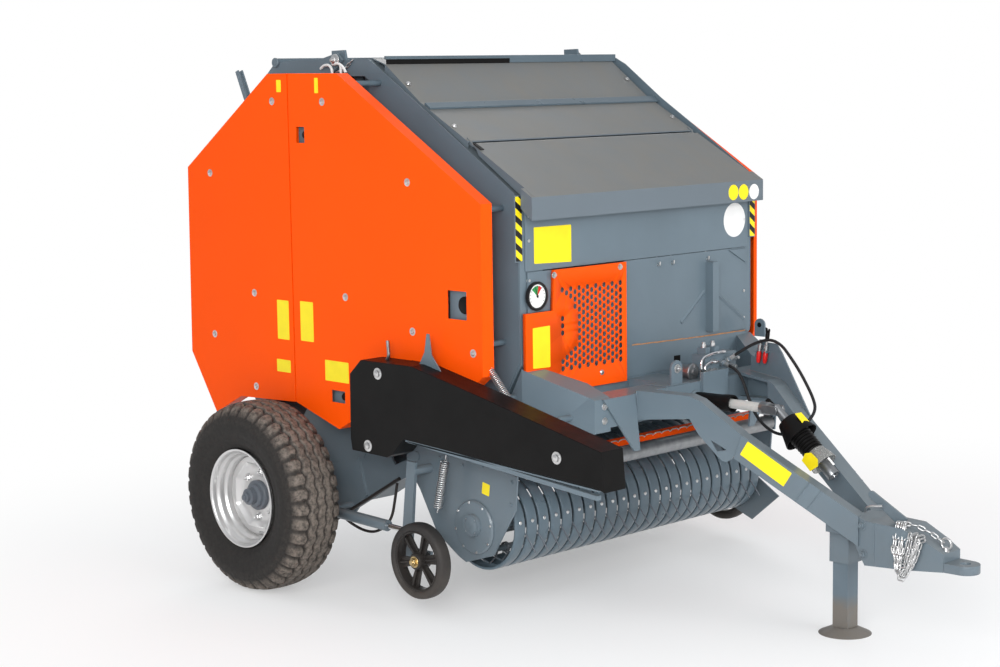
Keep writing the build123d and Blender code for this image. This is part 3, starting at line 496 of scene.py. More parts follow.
def spring(bm, top, foot, r, wire, turns, end, foot_end, hook, bent=0.0):
    """Coil spring between two hooks; end and foot_end are the hooks' shares of its run."""
    per_turn = 14
    drop = foot - top
    start, run = top + drop * end, (foot - drop * foot_end) - (top + drop * end)
    side = run.normalized().orthogonal().normalized()
    other = run.normalized().cross(side)
    total = turns * per_turn
    sweep(bm, [start + run * (i / total) + (side * cos(tau * i / per_turn) + other * sin(tau * i / per_turn)) * r
               for i in range(total + 1)], wire, 8)
    for tip, way, share, near in ((top, drop, end, 0.06), (foot, -drop, foot_end, 0.05)):
        line = [tip, tip + way * share + Vector((0, hook, 0))]
        if bent:
            line = rounded([line[0], tip + way * near, line[1]], bent)
        sweep(bm, line, wire, 8)


def film(name, corners, mat, body, lift):
    """Thin label plate with rounded corners, lifted a little off its surface along lift."""
    radius, gap, thick = 0.004, 0.0002, 0.0006
    pts = [Vector(c) for c in corners]
    lift = Vector(lift).normalized()
    outline = []
    for i, b in enumerate(pts):
        a, c = pts[i - 1], pts[(i + 1) % len(pts)]
        outline += corner(a, b, c, min(radius, (a - b).length * 0.3, (c - b).length * 0.3), 3)
    with making(name, mat, body, angle=30) as bm:
        slab(bm, [p + lift * gap for p in outline], lift * thick)


def on_circle(x, z, r, angle):
    """The drawing's XZ at an angle round a place."""
    return x + r * cos(angle), z + r * sin(angle)


# ---------- hose ----------

# The hose's line, in metres, from one valve port round the far leg to the other
HOSE_LINE = [(0.402, 0.225, 0.975), (0.462, 0.222, 0.963), (0.510, 0.210, 0.918), (0.548, 0.194, 0.858),
             (0.594, 0.176, 0.798), (0.658, 0.158, 0.750), (0.736, 0.142, 0.724), (0.808, 0.131, 0.730),
             (0.864, 0.133, 0.760), (0.894, 0.163, 0.798), (0.892, 0.204, 0.836), (0.858, 0.232, 0.874),
             (0.814, 0.249, 0.922), (0.764, 0.263, 0.976), (0.708, 0.275, 1.028), (0.652, 0.289, 1.072),
             (0.588, 0.295, 1.090), (0.520, 0.285, 1.070), (0.460, 0.268, 1.034), (0.410, 0.254, 0.998)]
HOSE_R = 0.0065
hose_curve = bpy.data.curves.new("hydraulic_hose", "CURVE")
hose_curve.dimensions = "3D"
hose_curve.bevel_depth = 1.0
hose_curve.bevel_resolution = 6
hose_curve.resolution_u = 16
hose_curve.use_fill_caps = True
hose_curve.materials.append(HOSE)
hose_spline = hose_curve.splines.new("NURBS")
hose_spline.points.add(len(HOSE_LINE) - 1)
for knot, place in zip(hose_spline.points, HOSE_LINE):
    knot.co = (*place, 1)
    knot.radius = HOSE_R
hose_spline.order_u = 3
hose_spline.use_endpoint_u = True
hose = link(bpy.data.objects.new("hydraulic_hose", hose_curve))
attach(hose, "chassis")
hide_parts("hose_loop")


# ---------- the CAD pieces keep their shape and get paint and soft edges ----------

def dress(node, mat, bevel):
    o = NODES[node]
    o.data.materials.clear()
    o.data.materials.append(mat)
    if bevel:
        o.modifiers.new("join", "WELD").merge_threshold = 0.00002
        soften(o, bevel, 40)


for mat, bevel, nodes in (
        (PANEL_PAINT["right"], 0.0025, "panel_front_right panel_rear_right"),
        (PANEL_PAINT["left"], 0.0025, "panel_front_left panel_rear_left"),
        (GREY, 0.002, "side_frame_right side_frame_left tailgate"),
        (GREY, 0.001, "gate_barrel_right gate_barrel_left guard_carrier"),
        (GREY, 0.0018, "twine_box front_plate axle main_frame drawbar gearbox pickup_frame hitch_eye lift_barrel"),
        (GREY, 0.0018, "chamber_floor"),
        (CHROME, 0.0006, "gate_rod_right gate_rod_left"),
        (CHROME, 0.0, "lift_rod"),
        (GREY_LID, 0.001, "roof"),
        (GREY_LID, 0.0015, "lid"),
        (JACK_PAINT, 0.0018, "jack_leg"),
        (ORANGE, 0.0012, "feed_strip"),
        (BLACK, 0.004, "side_guard"),
        (STEEL, 0.001, "crop_roller pto_yoke"),
        (STEEL, 0.0, "elevator_front elevator_rear")):
    for node in nodes.split():
        dress(node, mat, bevel)

# ---------- road wheels ----------

TYRE_R = 0.4125
AXLE_Z = 0.4125
WHEEL_Y = 1.105
BLOCKS = 38
TREAD_HALF = 0.124


def section_radius(y):
    """Radius of the tyre's outside at a distance from its middle plane, on the tread."""
    y = abs(y)
    if y < 0.047:
        return TYRE_R - 0.002 * (y / 0.047) ** 2
    if y < 0.093:
        return TYRE_R - 0.002 - 0.010 * ((y - 0.047) / 0.046) ** 1.5
    return TYRE_R - 0.012 - 0.034 * min(1, (y - 0.093) / 0.031) ** 1.7


def ramp_step(value, low, high):
    t = max(0.0, min(1.0, (value - low) / (high - low)))
    return t * t * (3 - 2 * t)


def zigzag(a, pitches):
    """Rounded zigzag from -1 to 1 round the tyre."""
    phase = (a / tau * pitches) % 1
    return max(-1, min(1, 2.6 * (abs(phase * 2 - 1) - 0.5)))


def block_share(a, y):
    """0 in the gap between two shoulder blocks, 1 on a block."""
    phase = (a / tau * BLOCKS + (0.5 if y > 0 else 0.0)) % 1
    return ramp_step(abs(phase - 0.5) * tau * TYRE_R / BLOCKS, 0.0075, 0.0125)


def tread_height(a, y):
    """Share of the full tread, 0 at the bottom of a groove and 1 on a rib."""
    height = 1.0
    wave = zigzag(a, BLOCKS) * 0.0055
    for groove, width in ((-0.066, 0.0062), (-0.0215, 0.0048), (0.0215, 0.0048), (0.066, 0.0062)):
        height = min(height, ramp_step(abs(y - groove - wave), width * 0.55, width * 1.25))
    if abs(y) > 0.08:
        return min(height, block_share(a, y))
    if abs(y) > 0.066:
        return min(height, max(block_share(a, y), 1 - ramp_step(abs(y), 0.072, 0.08)))
    return height


def tyre(side, sign):
    """Tyre with zigzag ribs and shoulder blocks; sign is that of its Y."""
    around = BLOCKS * 14
    steps = 74
    wall = [(0.1275, 0.3585), (0.1305, 0.3545), (0.1305, 0.3515), (0.132, 0.348), (0.1345, 0.335), (0.1352, 0.318),
            (0.1347, 0.30), (0.1315, 0.283), (0.1265, 0.268), (0.1262, 0.262), (0.1235, 0.252), (0.117, 0.241),
            (0.111, 0.232), (0.1085, 0.224), (0.1075, 0.2155), (0.098, 0.2135)]
    columns = [(-y, r) for y, r in reversed(wall)]
    columns += [(-TREAD_HALF + 2 * TREAD_HALF * i / steps, None) for i in range(steps + 1)] + wall
    bm = bmesh.new()
    soil_at = []
    grid = []

    def vert(r, a, y, soil):
        soil_at.append(soil)
        return bm.verts.new((r * cos(a), sign * WHEEL_Y + y, AXLE_Z + r * sin(a)))

    for i in range(around):
        a = tau * i / around
        row = []
        for y, r in columns:
            if r is None:
                height = tread_height(a, y)
                deep = 0.0125 * (1 - 0.35 * ramp_step(abs(y), 0.1, TREAD_HALF))
                here = section_radius(y) - deep * (1 - height)
                soil = (0.22 + 0.78 * height) * (1 - 0.55 * ramp_step(abs(y), 0.112, TREAD_HALF))
            else:
                here = r - 0.003 * (1 - block_share(a, y)) if r > 0.348 else r
                soil = 0.10 if r > 0.33 else 0.05
            row.append(vert(here, a, y, soil))
        grid.append(row)
    for i in range(around):
        j = (i + 1) % around
        for k in range(len(columns) - 1):
            bm.faces.new((grid[i][k], grid[j][k], grid[j][k + 1], grid[i][k + 1]))
    for last in (0, -1):
        inner = [vert(0.204, tau * i / around, columns[last][0] * 0.75, 0.0) for i in range(around)]
        join(bm, [row[last] for row in grid], inner)
    for v in bm.verts:
        v.co.x += -MIDDLE_X / 1000
    piece = finish_mesh("tyre_tread_" + side, bm, TREAD, "road_wheel_" + side, angle=180,
                        replaces=("tyre_" + side,))
    soil = piece.data.attributes.new("soil", "FLOAT", "POINT")
    soil.data.foreach_set("value", soil_at)


def rim(side, sign):
    """Drop-centre rim with its welded disc, studs, valve and hub."""
    centre = Vector((-MIDDLE_X / 1000, sign * WHEEL_Y, AXLE_Z))
    outward = Vector((0, sign, 0))
    body = "road_wheel_" + side
    turned("rim_barrel_" + side, SILVER, [
        (0.113, 0.2105), (0.1175, 0.2150), (0.1200, 0.2140), (0.1205, 0.2100), (0.1185, 0.2055), (0.112, 0.2020),
        (0.100, 0.2005), (0.094, 0.1995), (0.088, 0.1925), (0.083, 0.1890), (0.066, 0.1880), (0.061, 0.1870),
        (0.056, 0.1800), (0.050, 0.1765), (0.030, 0.1760), (0.000, 0.1760), (-0.062, 0.1770), (-0.080, 0.1880),
        (-0.100, 0.1990), (-0.116, 0.2030), (-0.1185, 0.2100), (-0.116, 0.2140), (-0.112, 0.2110),
        (-0.108, 0.2040), (-0.060, 0.1830), (0.050, 0.1830), (0.085, 0.1990), (0.108, 0.2050), (0.113, 0.2105)],
        centre, outward, 96, body, 60, ("rim_" + side,))
    # Each ring of the disc: distance along the axle, radius, and how eight-sided it is
    with making("rim_disc_" + side, SILVER, body, angle=35) as bm:
        rows = []
        for along, base, eight in (
                (0.028, 0.1758, 0.0), (0.034, 0.170, 0.15), (0.033, 0.152, 1.0), (0.020, 0.141, 1.0),
                (0.012, 0.128, 0.6), (0.009, 0.112, 0.0), (0.009, 0.088, 0.0), (0.013, 0.080, 0.0),
                (0.015, 0.066, 0.0), (0.003, 0.066, 0.0), (0.000, 0.100, 0.0), (0.010, 0.140, 0.4),
                (0.024, 0.172, 0.0), (0.028, 0.1758, 0.0)):
            row = []
            for i in range(96):
                a = tau * i / 96
                flat = cos(pi / 8) / cos(((a + pi / 8) % (pi / 4)) - pi / 8)
                r = base * (1 + eight * (flat - 1) * 0.9)
                row.append(bm.verts.new(centre + outward * along + X_AXIS * (r * cos(a)) + Z_AXIS * (r * sin(a))))
            rows.append(row)
        for one, two in zip(rows, rows[1:]):
            join(bm, one, two)
        bmesh.ops.remove_doubles(bm, verts=bm.verts, dist=1e-6)
    with making("rim_studs_" + side, ZINC, body, angle=30) as bm:
        for spot in circle(centre, 0.1025, X_AXIS, Z_AXIS, 6, tau * 0.35 / 6):
            spot = spot + outward * 0.009
            lathe(bm, [(0, 0), (0, 0.019), (0.004, 0.019), (0.0055, 0.017), (0.0055, 0)], spot, outward, 20)
            hex_bolt(bm, spot + outward * 0.0055, outward, 0.014, washer=False, stub=0.012)
        lathe(bm, [(0, 0), (0, 0.0065), (0.012, 0.006), (0.030, 0.0045), (0.030, 0)],
              centre + Vector((0.075, 0, -0.155)) + outward * 0.048, Vector((-0.25, sign * 0.9, 0.35)), 14)
    turned("hub_cap_" + side, HUB_GREY, [
        (-0.06, 0), (-0.06, 0.065), (0.015, 0.065), (0.030, 0.0655), (0.034, 0.063), (0.036, 0.052),
        (0.048, 0.0505), (0.052, 0.044), (0.054, 0.0365), (0.078, 0.0355), (0.081, 0.031), (0.082, 0.022),
        (0.093, 0.0205), (0.096, 0.014), (0.103, 0.012), (0.105, 0.008), (0.105, 0)], centre, outward, 48, body, 32)


for side, sign in SIDES:
    tyre(side, sign)
    rim(side, sign)

# ---------- pickup ----------

REEL = (1050.0, 400.0)
BAND_R = 195.0
PLATE_Y = 830.0
BANDS = 23
PITCH = 2 * (PLATE_Y - 65.5) / (BANDS - 1)
BAND_PLACES = [-PITCH * (BANDS - 1) / 2 + PITCH * i for i in range(BANDS)]
TINE_PLACES = [-PITCH * (BANDS - 2) / 2 + PITCH * i for i in range(BANDS - 1)]
BAR_REACH, COIL_R = 120, 19
# Angle of each tine bar, of its tine tips, and the tips' distance from the reel's axis
TINE_BARS = [(4, -21.7, 262), (94, 112, 183), (184, 200, 183), (274, 262, 187)]


def on_reel(r, degrees):
    return on_circle(*REEL, r, radians(degrees))


def tines():
    """Shaft, spiders, tine bars and sprung double tines with their coils."""
    cx, cz = REEL
    bar_half = PLATE_Y - 50
    with making("reel_core", GREY, "pickup_reel", bevel=0.001, replaces=("pickup_reel",)) as bm:
        disc(bm, at(cx, -PLATE_Y - 24, cz), Y_AXIS, 0.020, 2 * (PLATE_Y + 24) / 1000, 24, 0.002)
        disc(bm, at(cx, -PLATE_Y + 40, cz), Y_AXIS, 0.060, 2 * (PLATE_Y - 40) / 1000, 36, 0.002)
        for bar_angle, _, _ in TINE_BARS:
            bx, bz = on_reel(BAR_REACH, bar_angle)
            disc(bm, at(bx, -bar_half, bz), Y_AXIS, 0.013, 2 * bar_half / 1000, 16, 0.001)
            across = Vector((-(bz - cz), 0, bx - cx)).normalized() * 0.017
            for y in (-bar_half, -bar_half / 3, bar_half / 3, bar_half):
                a, b = at(cx, y - 6, cz), at(bx, y - 6, bz)
                slab(bm, [a + across * 1.6, a - across * 1.6, b - across, b + across], (0, 0.012, 0))
    with making("tines", HUB_GREY, "pickup_reel", angle=60) as bm:
        for bar_angle, tip_angle, tip_r in TINE_BARS:
            (bx, bz), (tx, tz) = on_reel(BAR_REACH, bar_angle), on_reel(tip_r, tip_angle)
            bar, tip = Vector((bx, 0, bz)), Vector((tx, 0, tz))
            away = (tip - bar).normalized()
            turn = Vector((away.z, 0, -away.x))
            start = bar - turn * COIL_R
            for y in TINE_PLACES:
                line = []
                for k in range(27):
                    a = tau * k / 9
                    p = bar - turn * (COIL_R * cos(a)) + away * (COIL_R * sin(a))
                    line.append(at(p.x, y - 17 + 5.2 * k / 9, p.z))
                for share in (0.05, 0.2, 0.4, 0.6, 0.8, 0.93, 1.0):
                    p = start + (tip - start) * share + turn * (-6.0 * sin(pi * share))
                    line.append(at(p.x, y - 1.4 + 1.4 * share, p.z))
                sweep(bm, line, 0.0033, 7)


tines()


def gauge_wheel(side, sign):
    """Spoked wheel with a solid rubber tread and a plated nut."""
    body = "gauge_wheel_" + side
    outward = Vector((0, sign, 0))
    centre = at(884, sign * 985, 251)
    turned("gauge_tyre_" + side, RUBBER, [
        (-0.024, 0.124), (-0.030, 0.130), (-0.032, 0.140), (-0.030, 0.149), (-0.024, 0.1555), (-0.012, 0.158),
        (0.012, 0.158), (0.024, 0.1555), (0.030, 0.149), (0.032, 0.140), (0.030, 0.130), (0.024, 0.124),
        (-0.024, 0.124)], centre, outward, 72, body, 60, (body,))
    with making("gauge_spokes_" + side, SATIN_BLACK, body, bevel=0.0015) as bm:
        lathe(bm, [(-0.026, 0.125), (0.026, 0.125), (0.027, 0.121), (0.024, 0.117), (0.006, 0.114),
                   (-0.006, 0.114), (-0.024, 0.117), (-0.027, 0.121), (-0.026, 0.125)], centre, outward, 72)
        lathe(bm, [(-0.036, 0.014), (-0.036, 0.030), (-0.030, 0.034), (0.026, 0.036), (0.034, 0.031),
                   (0.034, 0.014), (-0.036, 0.014)], centre, outward, 32)
        for i in range(6):
            a = tau * i / 6 + radians(12)
            out_dir, across = Vector((cos(a), 0, sin(a))), Vector((-sin(a), 0, cos(a)))
            near, far = centre + out_dir * 0.028, centre + out_dir * 0.118
            for near_half, far_half, back, thick in ((0.016, 0.024, 0.006, 0.010), (0.004, 0.004, 0.014, 0.030)):
                slab(bm, [near + across * near_half - outward * back, near - across * near_half - outward * back,
                          far - across * far_half - outward * back, far + across * far_half - outward * back],
                     outward * thick)
    with making("gauge_nut_" + side, GOLD_ZINC, "pickup") as bm:
        disc(bm, centre + outward * 0.034, outward, 0.024, 0.003, 28, 0.0008)
        disc(bm, centre + outward * 0.037, outward, 0.017, 0.013, 6, 0.002)
        disc(bm, centre + outward * 0.049, outward, 0.010, 0.006, 16, 0.001)


for side, sign in SIDES:
    gauge_wheel(side, sign)


def pickup_details():
    """Cam covers, bearings, bolts on the bands, the end plate's label and the hanging springs."""
    cam = (REEL[0] - 2, REEL[1] - 10)
    with making("cam_covers", GREY, "pickup", angle=28) as bm:
        for sign in (-1, 1):
            lathe(bm, [(0, 0), (0, 0.112), (0.006, 0.112), (0.012, 0.106), (0.014, 0.098), (0.014, 0)],
                  at(cam[0], sign * (PLATE_Y + 0.2), cam[1]), (0, sign, 0), 64)
    with making("reel_bearings", GREY, "pickup", angle=40) as bm:
        for sign in (-1, 1):
            lathe(bm, [(0, 0), (0, 0.048), (0.010, 0.046), (0.016, 0.036), (0.020, 0.024), (0.020, 0)],
                  at(REEL[0], sign * (PLATE_Y + 14), REEL[1]), (0, sign, 0), 32)
        for sign in (-1, 1):
            for x, z in ((1262, 604), (1256, 512), (980, 636), (846, 650), (1092, 648)):
                hex_bolt(bm, at(x, sign * PLATE_Y, z), (0, sign, 0), 0.0068)
        side_slab(bm, 842, [(1176, 372), (1318, 284), (1164, 154), (1032, 206), (1040, 330)], 0.006)
    with making("pickup_bolts", ZINC, "pickup", angle=30) as bm:
        for sign in (-1, 1):
            for k in range(4):
                x, z = on_circle(*REEL, 33, tau * (k + 0.5) / 4)
                hex_bolt(bm, at(x, sign * (PLATE_Y + 24), z), (0, sign, 0), 0.0065)
            for k in range(8):
                x, z = on_circle(*cam, 103, tau * (k + 0.25) / 8)
                hex_bolt(bm, at(x, sign * (PLATE_Y + 12), z), (0, sign, 0), 0.0055, washer=False)
        for y in BAND_PLACES:
            for degrees in (62, 7):
                x, z = on_reel(BAND_R, degrees)
                a = radians(degrees)
                lathe(bm, [(-0.0005, 0), (-0.0005, 0.0085), (0.0015, 0.0080), (0.0038, 0.0055), (0.0046, 0)],
                      at(x, y, z), (cos(a), 0, sin(a)), 16)
    for side, sign in SIDES:
        with making("pickup_spring_" + side, ZINC, "pickup", angle=60) as bm:
            spring(bm, at(962, sign * 905, 688), at(903, sign * 905, 440), 0.0165, 0.0027, 21, 0.12, 0.10, 0.012,
                   bent=0.008)
    film("pickup_label", [at(x, -PLATE_Y, z) for x, z in ((1090, 536), (1132, 528), (1138, 576), (1096, 584))],
         YELLOW, "pickup", (0, -1, 0))


pickup_details()

# ---------- side panels: blank labels, screws and latches ----------

for number, (x0, x1, z0, z1, body) in enumerate((
        (-14, 17, 2157, 2209, "tailgate"), (241, 265, 2152, 2216, "chassis"), (-52, 28, 1085, 1257, "tailgate"),
        (107, 194, 1090, 1262, "chassis"), (-64, 31, 940, 995, "tailgate"), (265, 419, 932, 1021, "chassis")), 1):
    film(f"panel_label_{number}", [at(x, PANEL_RIGHT, z) for x, z in ((x0, z0), (x1, z0), (x1, z1), (x0, z1))],
         YELLOW, body, (0, -1, 0))


def panel_screws():
    """Screws of the stays; the left panel has no foremost one."""
    rear = [(-48, 2118), (-507, 1798), (-210, 1276), (-510, 1068), (-216, 857)]
    front = [(288, 2116), (810, 1794), (409, 1300), (825, 1188), (1178, 1130)]
    for name, body, spots in (("panel_screws_rear", "tailgate", rear), ("panel_screws_front", "chassis", front)):
        with making(name, ZINC, body, angle=30) as bm:
            for x, z in spots:
                for y, sign in ((PANEL_RIGHT, -1), (PANEL_LEFT, 1)):
                    if sign > 0 and x > 1150:
                        continue
                    lathe(bm, [(0, 0), (0, 0.017), (0.0015, 0.0165), (0.002, 0.010), (0.006, 0.0085),
                               (0.0078, 0.005), (0.008, 0)], at(x, y, z), (0, sign, 0), 20)


panel_screws()


def window_latches():
    """Dark latch and its plate seen through each square window."""
    windows = ((110, 166, 1942, 2010), (1035, 1144, 1258, 1372), (303, 391, 843, 895))
    with making("latch_knobs", BLACK, angle=40) as bm:
        for x0, x1, z0, z1 in windows:
            reach = min(x1 - x0, z1 - z0) * 0.32 / 1000
            lathe(bm, [(0, 0), (0, reach), (0.010, reach), (0.014, reach * 0.8), (0.014, 0)],
                  at((x0 + x1) / 2 + (x1 - x0) * 0.25, -925, (z0 + z1) / 2), (0, -1, 0), 28)
    with making("latch_plates", GREY, bevel=0.001) as bm:
        for x0, x1, z0, z1 in windows:
            brick(bm, (x0 - 12, -925, z0 - 12), (x1 + 12, -922, z1 + 12))


window_latches()


def guard_details():
    """Bolts on the side guard, the fin and the catch on its top, and the spring behind it."""
    with making("guard_bolts", ZINC, angle=30) as bm:
        for x, z in ((747, 1022), (677, 716), (1746, 802)):
            lathe(bm, [(0, 0), (0, 0.024), (0.002, 0.024), (0.003, 0.015), (0.010, 0.0135), (0.0125, 0.009),
                       (0.013, 0)], at(x, -1075, z), (0, -1, 0), 28)
    with making("guard_fin", GREY, bevel=0.001) as bm:
        side_slab(bm, -1003, [(914, 1062), (1052, 1042), (990, 1112), (978, 1196), (964, 1196), (950, 1120)], 0.006)
    with making("guard_catch", STEEL, angle=40) as bm:
        sweep(bm, rounded([at(716, -1000, 1062), at(733, -1000, 1085), at(727, -1000, 1148)], 0.01), 0.007, 12)
    with making("guard_spring", ZINC, angle=60) as bm:
        spring(bm, at(1201, -900, 1084), at(1327, -900, 950), 0.013, 0.0026, 20, 0.08, 0.08, 0.008)


guard_details()

# ---------- front: box, lid, guard, dial ----------

for name, x, mat, outline in (
        ("box_label", BOX_FACE, YELLOW, ((-660, 1466), (-443, 1458), (-443, 1610), (-660, 1612))),
        ("guard_label", GUARD_FACE, YELLOW, ((-692, 1046), (-592, 1042), (-592, 1212), (-692, 1210))),
        ("front_tape_right", BOX_FACE, HAZARD, ((-763, 1482), (-728, 1482), (-728, 1740), (-763, 1740))),
        ("front_tape_left", BOX_FACE, HAZARD, ((728, 1482), (763, 1482), (763, 1740), (728, 1740)))):
    film(name, [at(x, y, z) for y, z in outline], mat, "chassis", X_AXIS)

LABEL_THICK = 0.0008
for name, x, y, z, r, mat, body in (
        ("box_disc", BOX_FACE, 619, 1562, 0.076, WHITE, "chassis"),
        ("lid_disc_1", 1304, 528, 1691, 0.034, YELLOW, "lid"),
        ("lid_disc_2", 1304, 599, 1689, 0.034, YELLOW, "lid"),
        ("lid_disc_3", 1304, 673, 1687, 0.034, WHITE, "lid")):
    turned(name, mat, [(0, 0), (0, r), (LABEL_THICK, r * 0.985), (LABEL_THICK, 0)], at(x, y, z), X_AXIS, 48, body,
           30)


def front_details():
    """Strips that carry the tape, hooks under the box, screws on the covers."""
    with making("tape_strips", GREY, bevel=0.001) as bm:
        for y0, y1 in ((-767, -724), (724, 767)):
            brick(bm, (1229, y0, 1478), (BOX_FACE, y1, 1744))
    with making("front_hooks", ZINC, angle=30) as bm:
        for y in (99, 191, 427):
            sweep(bm, rounded([at(1230, y, 1436), at(1230, y, 1402), at(1246, y, 1398), at(1248, y, 1416)], 0.008),
                  0.004, 10)
        for sign in (-1, 1):
            hex_bolt(bm, at(543, sign * 690, 2186), (0.597, 0, 0.802), 0.008)
            hex_bolt(bm, at(818, sign * 690, 2012), (0.482, 0, 0.876), 0.008)
        for y in (-660, -420, -180, 60, 300, 540, 660):
            hex_bolt(bm, at(BOX_FACE, y, 1700), X_AXIS, 0.006, washer=False)


front_details()


def gauge_face():
    """Bale size dial: rim, white face with a green and a red sector, ticks and a needle."""
    centre = at(1243, -655, 1336)
    turned("dial_rim", SATIN_BLACK, [
        (-0.006, 0), (-0.006, 0.0575), (0.004, 0.0595), (0.009, 0.058), (0.011, 0.054), (0.010, 0.050),
        (0.004, 0.0475), (0.003, 0)], centre, X_AXIS, 64, replaces=("bale_gauge",))
    centre = centre + X_AXIS * 0.0032
    turned("dial_face", WHITE, [(0, 0), (0, 0.0472), (0.001, 0.0472), (0.001, 0)], centre + X_AXIS * 0.0002, X_AXIS,
           angle=30)
    for name, mat, a0, a1 in (("dial_green", GREEN, 82, 138), ("dial_red", RED, 52, 82)):
        angles = [radians(a) for a in arc(a0, a1, 12)]
        with making(name, mat, angle=30) as bm:
            slab(bm, [centre + Vector((0.0013, r * cos(a), r * sin(a))) for r, line in
                      ((0.041, angles), (0.003, reversed(angles))) for a in line], X_AXIS * 0.0005)
    with making("dial_marks", SATIN_BLACK, angle=30) as bm:
        def bar(base, degrees, start, end, half, end_half, thick):
            a = radians(degrees)
            out_dir, across = Vector((0, cos(a), sin(a))), Vector((0, -sin(a), cos(a)))
            p, q = base + out_dir * start, base + out_dir * end
            slab(bm, [p + across * half, p - across * half, q - across * end_half, q + across * end_half],
                 X_AXIS * thick)

        for degrees in arc(-30, 210, 12):
            bar(centre + X_AXIS * 0.0019, degrees, 0.037, 0.043, 0.0008, 0.0008, 0.0005)
        base = centre + X_AXIS * 0.003
        bar(base, 108, -0.008, 0.036, 0.002, 0.0006, 0.001)
        lathe(bm, [(0, 0), (0, 0.005), (0.003, 0.005), (0.004, 0.0035), (0.004, 0)], base - X_AXIS * 0.001, X_AXIS, 20)


gauge_face()

# ---------- drive shaft ----------

JOINT = at(1955, 0, 866)
DROP = (at(2202, 0, 656) - JOINT).normalized()
PTO_START = at(BEAM_FACE, 0, 866)


def drive_shaft():
    """Guarded shaft from the beam, its joint, and the half shaft in its bell, bellows and clear cone."""
    with making("pto_flange", GREY, angle=30, replaces=("pto_guard",)) as bm:
        lathe(bm, [(0, 0), (0, 0.036), (0.010, 0.036), (0.012, 0.034), (0.012, 0)], PTO_START, X_AXIS, 40)
        for spot in circle(PTO_START + X_AXIS * 0.0118, 0.029, Y_AXIS, Z_AXIS, 6):
            hex_bolt(bm, spot, X_AXIS, 0.0055, washer=False)
    turned("pto_rear_bell", BLACK, [
        (0.012, 0.024), (0.012, 0.029), (0.030, 0.031), (0.150, 0.033), (0.165, 0.036), (0.195, 0.037),
        (0.204, 0.036), (0.204, 0.030), (0.190, 0.024), (0.150, 0.022), (0.012, 0.024)], PTO_START, X_AXIS, 40)
    turned("pto_tube", PALE, [(0.012, 0), (0.012, 0.0195), (0.355, 0.0195), (0.357, 0.018), (0.357, 0)], PTO_START,
           X_AXIS, 36)
    with making("pto_fork", STEEL, bevel=0.0015) as bm:
        lathe(bm, [(0.350, 0), (0.350, 0.026), (0.388, 0.0268), (0.394, 0.022), (0.394, 0)], PTO_START, X_AXIS, 32)
        for y in (-0.029, 0.019):
            slab(bm, [JOINT + Vector((x, y, z)) for x, z in (
                (-0.064, -0.017), (-0.01, -0.0175), (0.006, -0.015), (0.012, 0.0), (0.006, 0.015), (-0.01, 0.0175),
                (-0.064, 0.017))], (0, 0.01, 0))
    with making("pto_cross", STEEL, "pto_shaft", angle=35, replaces=("pto_shaft",)) as bm:
        lathe(bm, [(-0.031, 0), (-0.031, 0.0092), (0.031, 0.0092), (0.031, 0)], JOINT, Y_AXIS, 24)
        lathe(bm, [(-0.017, 0), (-0.017, 0.0165), (0.090, 0.0165), (0.090, 0)], JOINT, DROP, 28)
    turned("pto_bell", BLACK, [
        (0.060, 0.0170), (0.060, 0.043), (0.066, 0.046), (0.110, 0.060), (0.148, 0.0735), (0.152, 0.0735),
        (0.151, 0.070), (0.112, 0.056), (0.070, 0.041), (0.068, 0.0170), (0.060, 0.0170)], JOINT, DROP, 56,
        "pto_shaft")
    folds = [(0.108, 0.030), (0.108, 0.045)]
    for k in range(9):
        along = 0.114 + 0.0135 * k
        folds += [(along, 0.0405 - 0.0005 * k), (along + 0.004, 0.0485 - 0.0006 * k),
                  (along + 0.0075, 0.0485 - 0.0006 * k)]
    turned("pto_bellows", BLACK, folds + [(0.238, 0.036), (0.238, 0.028)], JOINT, DROP, 48, "pto_shaft", 50)
    turned("pto_clear_cone", CLEAR, [
        (0.226, 0.0372), (0.226, 0.0392), (0.238, 0.0425), (0.240, 0.0440), (0.262, 0.0485), (0.264, 0.0500),
        (0.290, 0.0545), (0.297, 0.0555), (0.298, 0.0545), (0.290, 0.0520), (0.262, 0.0462), (0.238, 0.0402),
        (0.226, 0.0372)], JOINT, DROP, 48, "pto_shaft")
    turned("pto_peg", WHITE, [(0, 0), (0, 0.0045), (0.034, 0.0045), (0.037, 0.003), (0.037, 0)],
           JOINT + DROP * 0.294 + Vector((0.034, -0.018, 0.030)), DROP, 14, "pto_shaft")
    side_dir = Vector((DROP.z, 0, -DROP.x)) * -1
    with making("pto_tag", YELLOW, "pto_shaft", angle=30) as bm:
        slab(bm, [JOINT + DROP * a + Vector((0, -0.055, 0)) + side_dir * b for a, b in (
            (0.236, -0.034), (0.292, -0.036), (0.304, 0.008), (0.286, 0.028), (0.246, 0.024), (0.228, 0.000))],
            (0.001, -0.0016, 0.001))
    with making("bell_label", YELLOW, "pto_shaft", angle=30) as bm:
        top = JOINT + DROP * 0.105
        slab(bm, [top + side_dir * 0.061 + Vector((0, y, 0)) + DROP * a for a, y in (
            (-0.030, -0.020), (0.020, -0.022), (0.020, 0.022), (-0.030, 0.020))], side_dir * 0.0016)


drive_shaft()


# ---------- valves, pipes, couplings and the hose's ends ----------

def fitting(bm, centre, axis, size, length):
    """Hexagon union with its collar and round neck."""
    axis = Vector(axis).normalized()
    disc(bm, centre, axis, size * 1.05, length * 0.2, 20, size * 0.1)
    disc(bm, centre + axis * length * 0.2, axis, size, length * 0.45, 6, size * 0.1)
    disc(bm, centre + axis * length * 0.62, axis, size * 0.72, length * 0.38, 18, size * 0.1)


